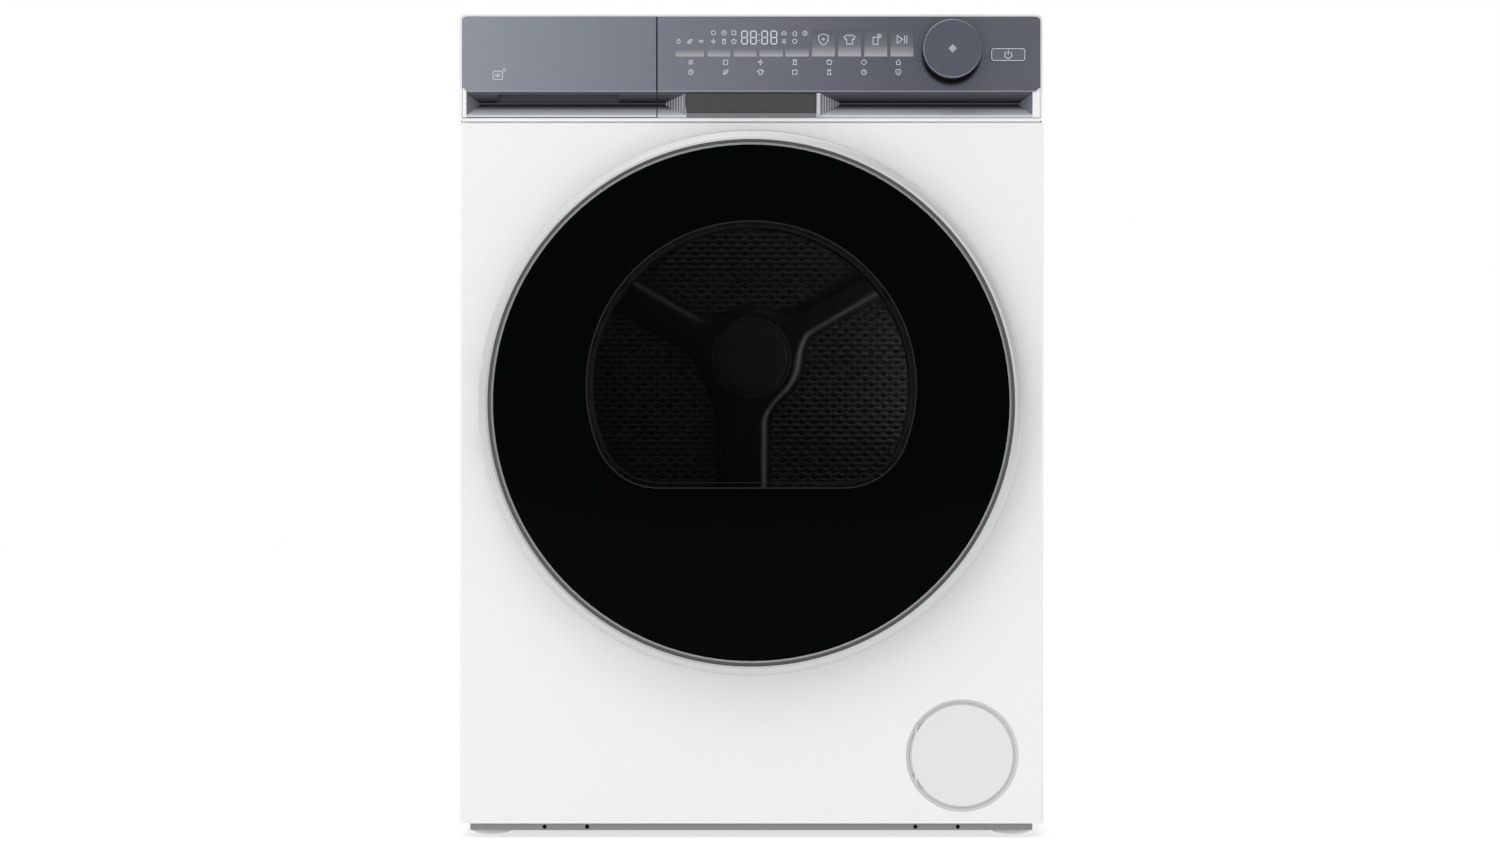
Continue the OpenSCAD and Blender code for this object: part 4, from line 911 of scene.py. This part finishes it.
def groove_inner(c, s):
    """Radius of the channel's inner edge in the direction (c, s): under the flap's rim, but clear of
    the sweep of the flap's disc and tongue beside and past the hinge."""
    inner = FLAP_R - 1 * MM
    z = abs(s) * (FLAP_R + 2 * MM)
    if c >= 0 or z >= 30 * MM:
        return inner
    disc_past = math.sqrt(FLAP_R ** 2 - z ** 2) + FLAP_HINGE
    disc = math.hypot(disc_past, 3 * MM) if disc_past > 0 else 0
    tongue = math.hypot(max(0, math.sqrt(TONGUE_RIM ** 2 - z ** 2) + FLAP_HINGE), 0.4 * MM)
    beside = (math.sqrt(TONGUE_RIM ** 2 - FLAP_HINGE ** 2) + FLAP_GAP) / max(abs(s), 0.01)
    return min(max(inner, beside), math.hypot(max(disc, tongue) + FLAP_GAP - FLAP_HINGE, z))


def flap_groove():
    """Soft channel round the flap, in painted shade: a flat floor and an outer wall that slopes up to the
    panel.
    """
    floor_y, top_y = PANEL_Y + 3.35 * MM, PANEL_Y + 1.2 * MM
    under_y = floor_y + 0.45 * MM
    outer = FLAP_R + 5.8 * MM
    steps = 360
    verts = []
    for i in range(steps):
        turn = 2 * math.pi * i / steps
        c, s = math.cos(turn), math.sin(turn)
        inner = groove_inner(c, s)
        knee = max(inner + 0.3 * MM, FLAP_R + 2.6 * MM)
        for radius, y in ((inner, floor_y), (knee, floor_y), (outer, top_y), (outer, under_y),
                          (inner, under_y)):
            verts.append((FLAP[0] + radius * c, y, FLAP[2] + radius * s))
    channel = verts, ring_faces(steps, len(verts) // steps)
    piece("flap_groove", channel, GROOVE_PAINTED_SHADE, "cabinet")


def flap_tongue():
    """Flange round the flap's back, in two arcs that leave room for the bearings of the flap's pin."""
    radius = FLAP_R + 0.5 * MM
    parts = []
    for middle_turn, half, count in ((math.pi, 0.53, 40), (0, math.pi - 0.70, 140)):
        turns = [middle_turn + half * (2 * i / count - 1) for i in range(count + 1)]
        line = [(FLAP[0] + radius * math.cos(a), FLAP[2] + radius * math.sin(a)) for a in turns]
        parts.append(ribbon(line, 2.8 * MM, PANEL_Y + 2.6 * MM, PANEL_Y + 3.0 * MM))
    piece("flap_tongue", join(parts), GROOVE_PAINTED_SHADE, "flap")


def base_holes():
    """Painted shade: dark discs inside the four holes in the base bar."""
    front, back = PANEL_Y + 1.93 * MM, PANEL_Y + 2.6 * MM
    hole_z, hole_r = 11.2 * MM, 2.15 * MM
    holes = join([prism(circle(x * MM, hole_z, hole_r, 24), front, back)
                  for x in (-212, -168.4, 168.4, 212)])
    piece("base_hole_insides", holes, HOLE_PAINTED_SHADE, "cabinet")


flap_groove()
flap_tongue()
base_holes()


# ---------------------------------------------------------------- floor, light and camera

ROOM_SIDE, ROOM_DARK, ROOM_TOP = 0.84, 0.32, 0.58
LEFT_POWER, TOP_POWER, DRUM_POWER = 1.2, 5.0, 0.20
CAMERA_AWAY, VIEW_WIDTH, CAMERA_X, CAMERA_Z = 3.2, 1.5384, -1.3 * MM, 426.5 * MM


def place_floor():
    """Pale floor that shines a little, so that it melts into the backdrop."""
    bpy.ops.mesh.primitive_plane_add(size=14, location=(0, 0, 0))
    floor = bpy.context.object
    floor.name = "floor"
    floor.data.materials.append(surface("floor_white", (0.42, 0.42, 0.42), 0.8, grain=40, shade=0.004,
                                        bump=0.01, specular=0.05, glow=1.55, large=1, large_shade=0.004))


def light_room():
    """Room light: dark behind the camera, bright above. What the camera itself sees is plain white."""
    world = bpy.data.worlds.new("studio")
    bpy.context.scene.world = world
    world.use_nodes = True
    tree = world.node_tree
    room = tree.nodes["Background"]
    place = add(tree, "ShaderNodeTexCoord", {})

    def lobe(direction, start, stop, low, high):
        """Brightness that goes from low to high as the view nears a direction."""
        dot = add(tree, "ShaderNodeVectorMath",
                  {0: place.outputs["Generated"], 1: Vector(direction).normalized()},
                  operation="DOT_PRODUCT")
        return remap(tree, dot.outputs["Value"], start, stop, low, high, "SMOOTHSTEP")

    behind = lobe((0.22, -1, 0.05), 0.60, 0.97, ROOM_SIDE, ROOM_DARK)
    above = lobe((-0.25, -0.2, 1), 0.30, 0.95, 0.0, ROOM_TOP)
    total = add(tree, "ShaderNodeMath", {0: behind, 1: above}, operation="ADD")
    tree.links.new(total.outputs["Value"], room.inputs["Strength"])
    room.inputs["Color"].default_value = (1, 1, 1, 1)
    backdrop = add(tree, "ShaderNodeBackground", {"Color": (1, 1, 1, 1), "Strength": 1.0})
    path = add(tree, "ShaderNodeLightPath", {})
    seen = add(tree, "ShaderNodeMixShader", {"Fac": path.outputs["Is Camera Ray"],
                                             1: room.outputs["Background"],
                                             2: backdrop.outputs["Background"]})
    tree.links.new(seen.outputs["Shader"], tree.nodes["World Output"].inputs["Surface"])


def softbox(name, spot, target, size, power):
    """Rectangular lamp at spot that faces target."""
    light = bpy.data.lights.new(name, "AREA")
    light.shape = "RECTANGLE"
    light.size, light.size_y = size
    light.energy = power
    lamp = bpy.data.objects.new(name, light)
    lamp.location = spot
    lamp.rotation_euler = (Vector(target) - Vector(spot)).to_track_quat("-Z", "Y").to_euler()
    bpy.context.scene.collection.objects.link(lamp)


def place_camera():
    """Camera straight in front."""
    camera = bpy.data.cameras.new("camera")
    camera.sensor_width = 36
    camera.lens = camera.sensor_width * CAMERA_AWAY / VIEW_WIDTH
    camera.clip_end = 50
    eye = bpy.data.objects.new("camera", camera)
    eye.location = (CAMERA_X, PANEL_Y - CAMERA_AWAY, CAMERA_Z)
    eye.rotation_euler = (math.radians(90), 0, 0)
    bpy.context.scene.collection.objects.link(eye)
    bpy.context.scene.camera = eye
    bpy.context.scene.view_settings.view_transform = "Standard"


place_floor()
light_room()
softbox("left_box", (-0.78, -2.2, 1.18), (-0.1, -0.3, 0.7), (0.6, 0.6), LEFT_POWER)
softbox("top_box", (-0.5, -1.3, 2.2), (0, -0.3, 0.5), (1.2, 0.8), TOP_POWER)
softbox("drum_side", (0.235, 0.12, 0.47), (0, 0.235, 0.47), (0.03, 0.26), DRUM_POWER)
softbox("drum_top", (0.02, 0.10, 0.745), (0, 0.235, 0.47), (0.26, 0.03), DRUM_POWER * 0.35)
softbox("drum_front", (0.10, -0.12, 0.66), (0, 0.235, 0.49), (0.05, 0.05), DRUM_POWER * 0.2)
place_camera()
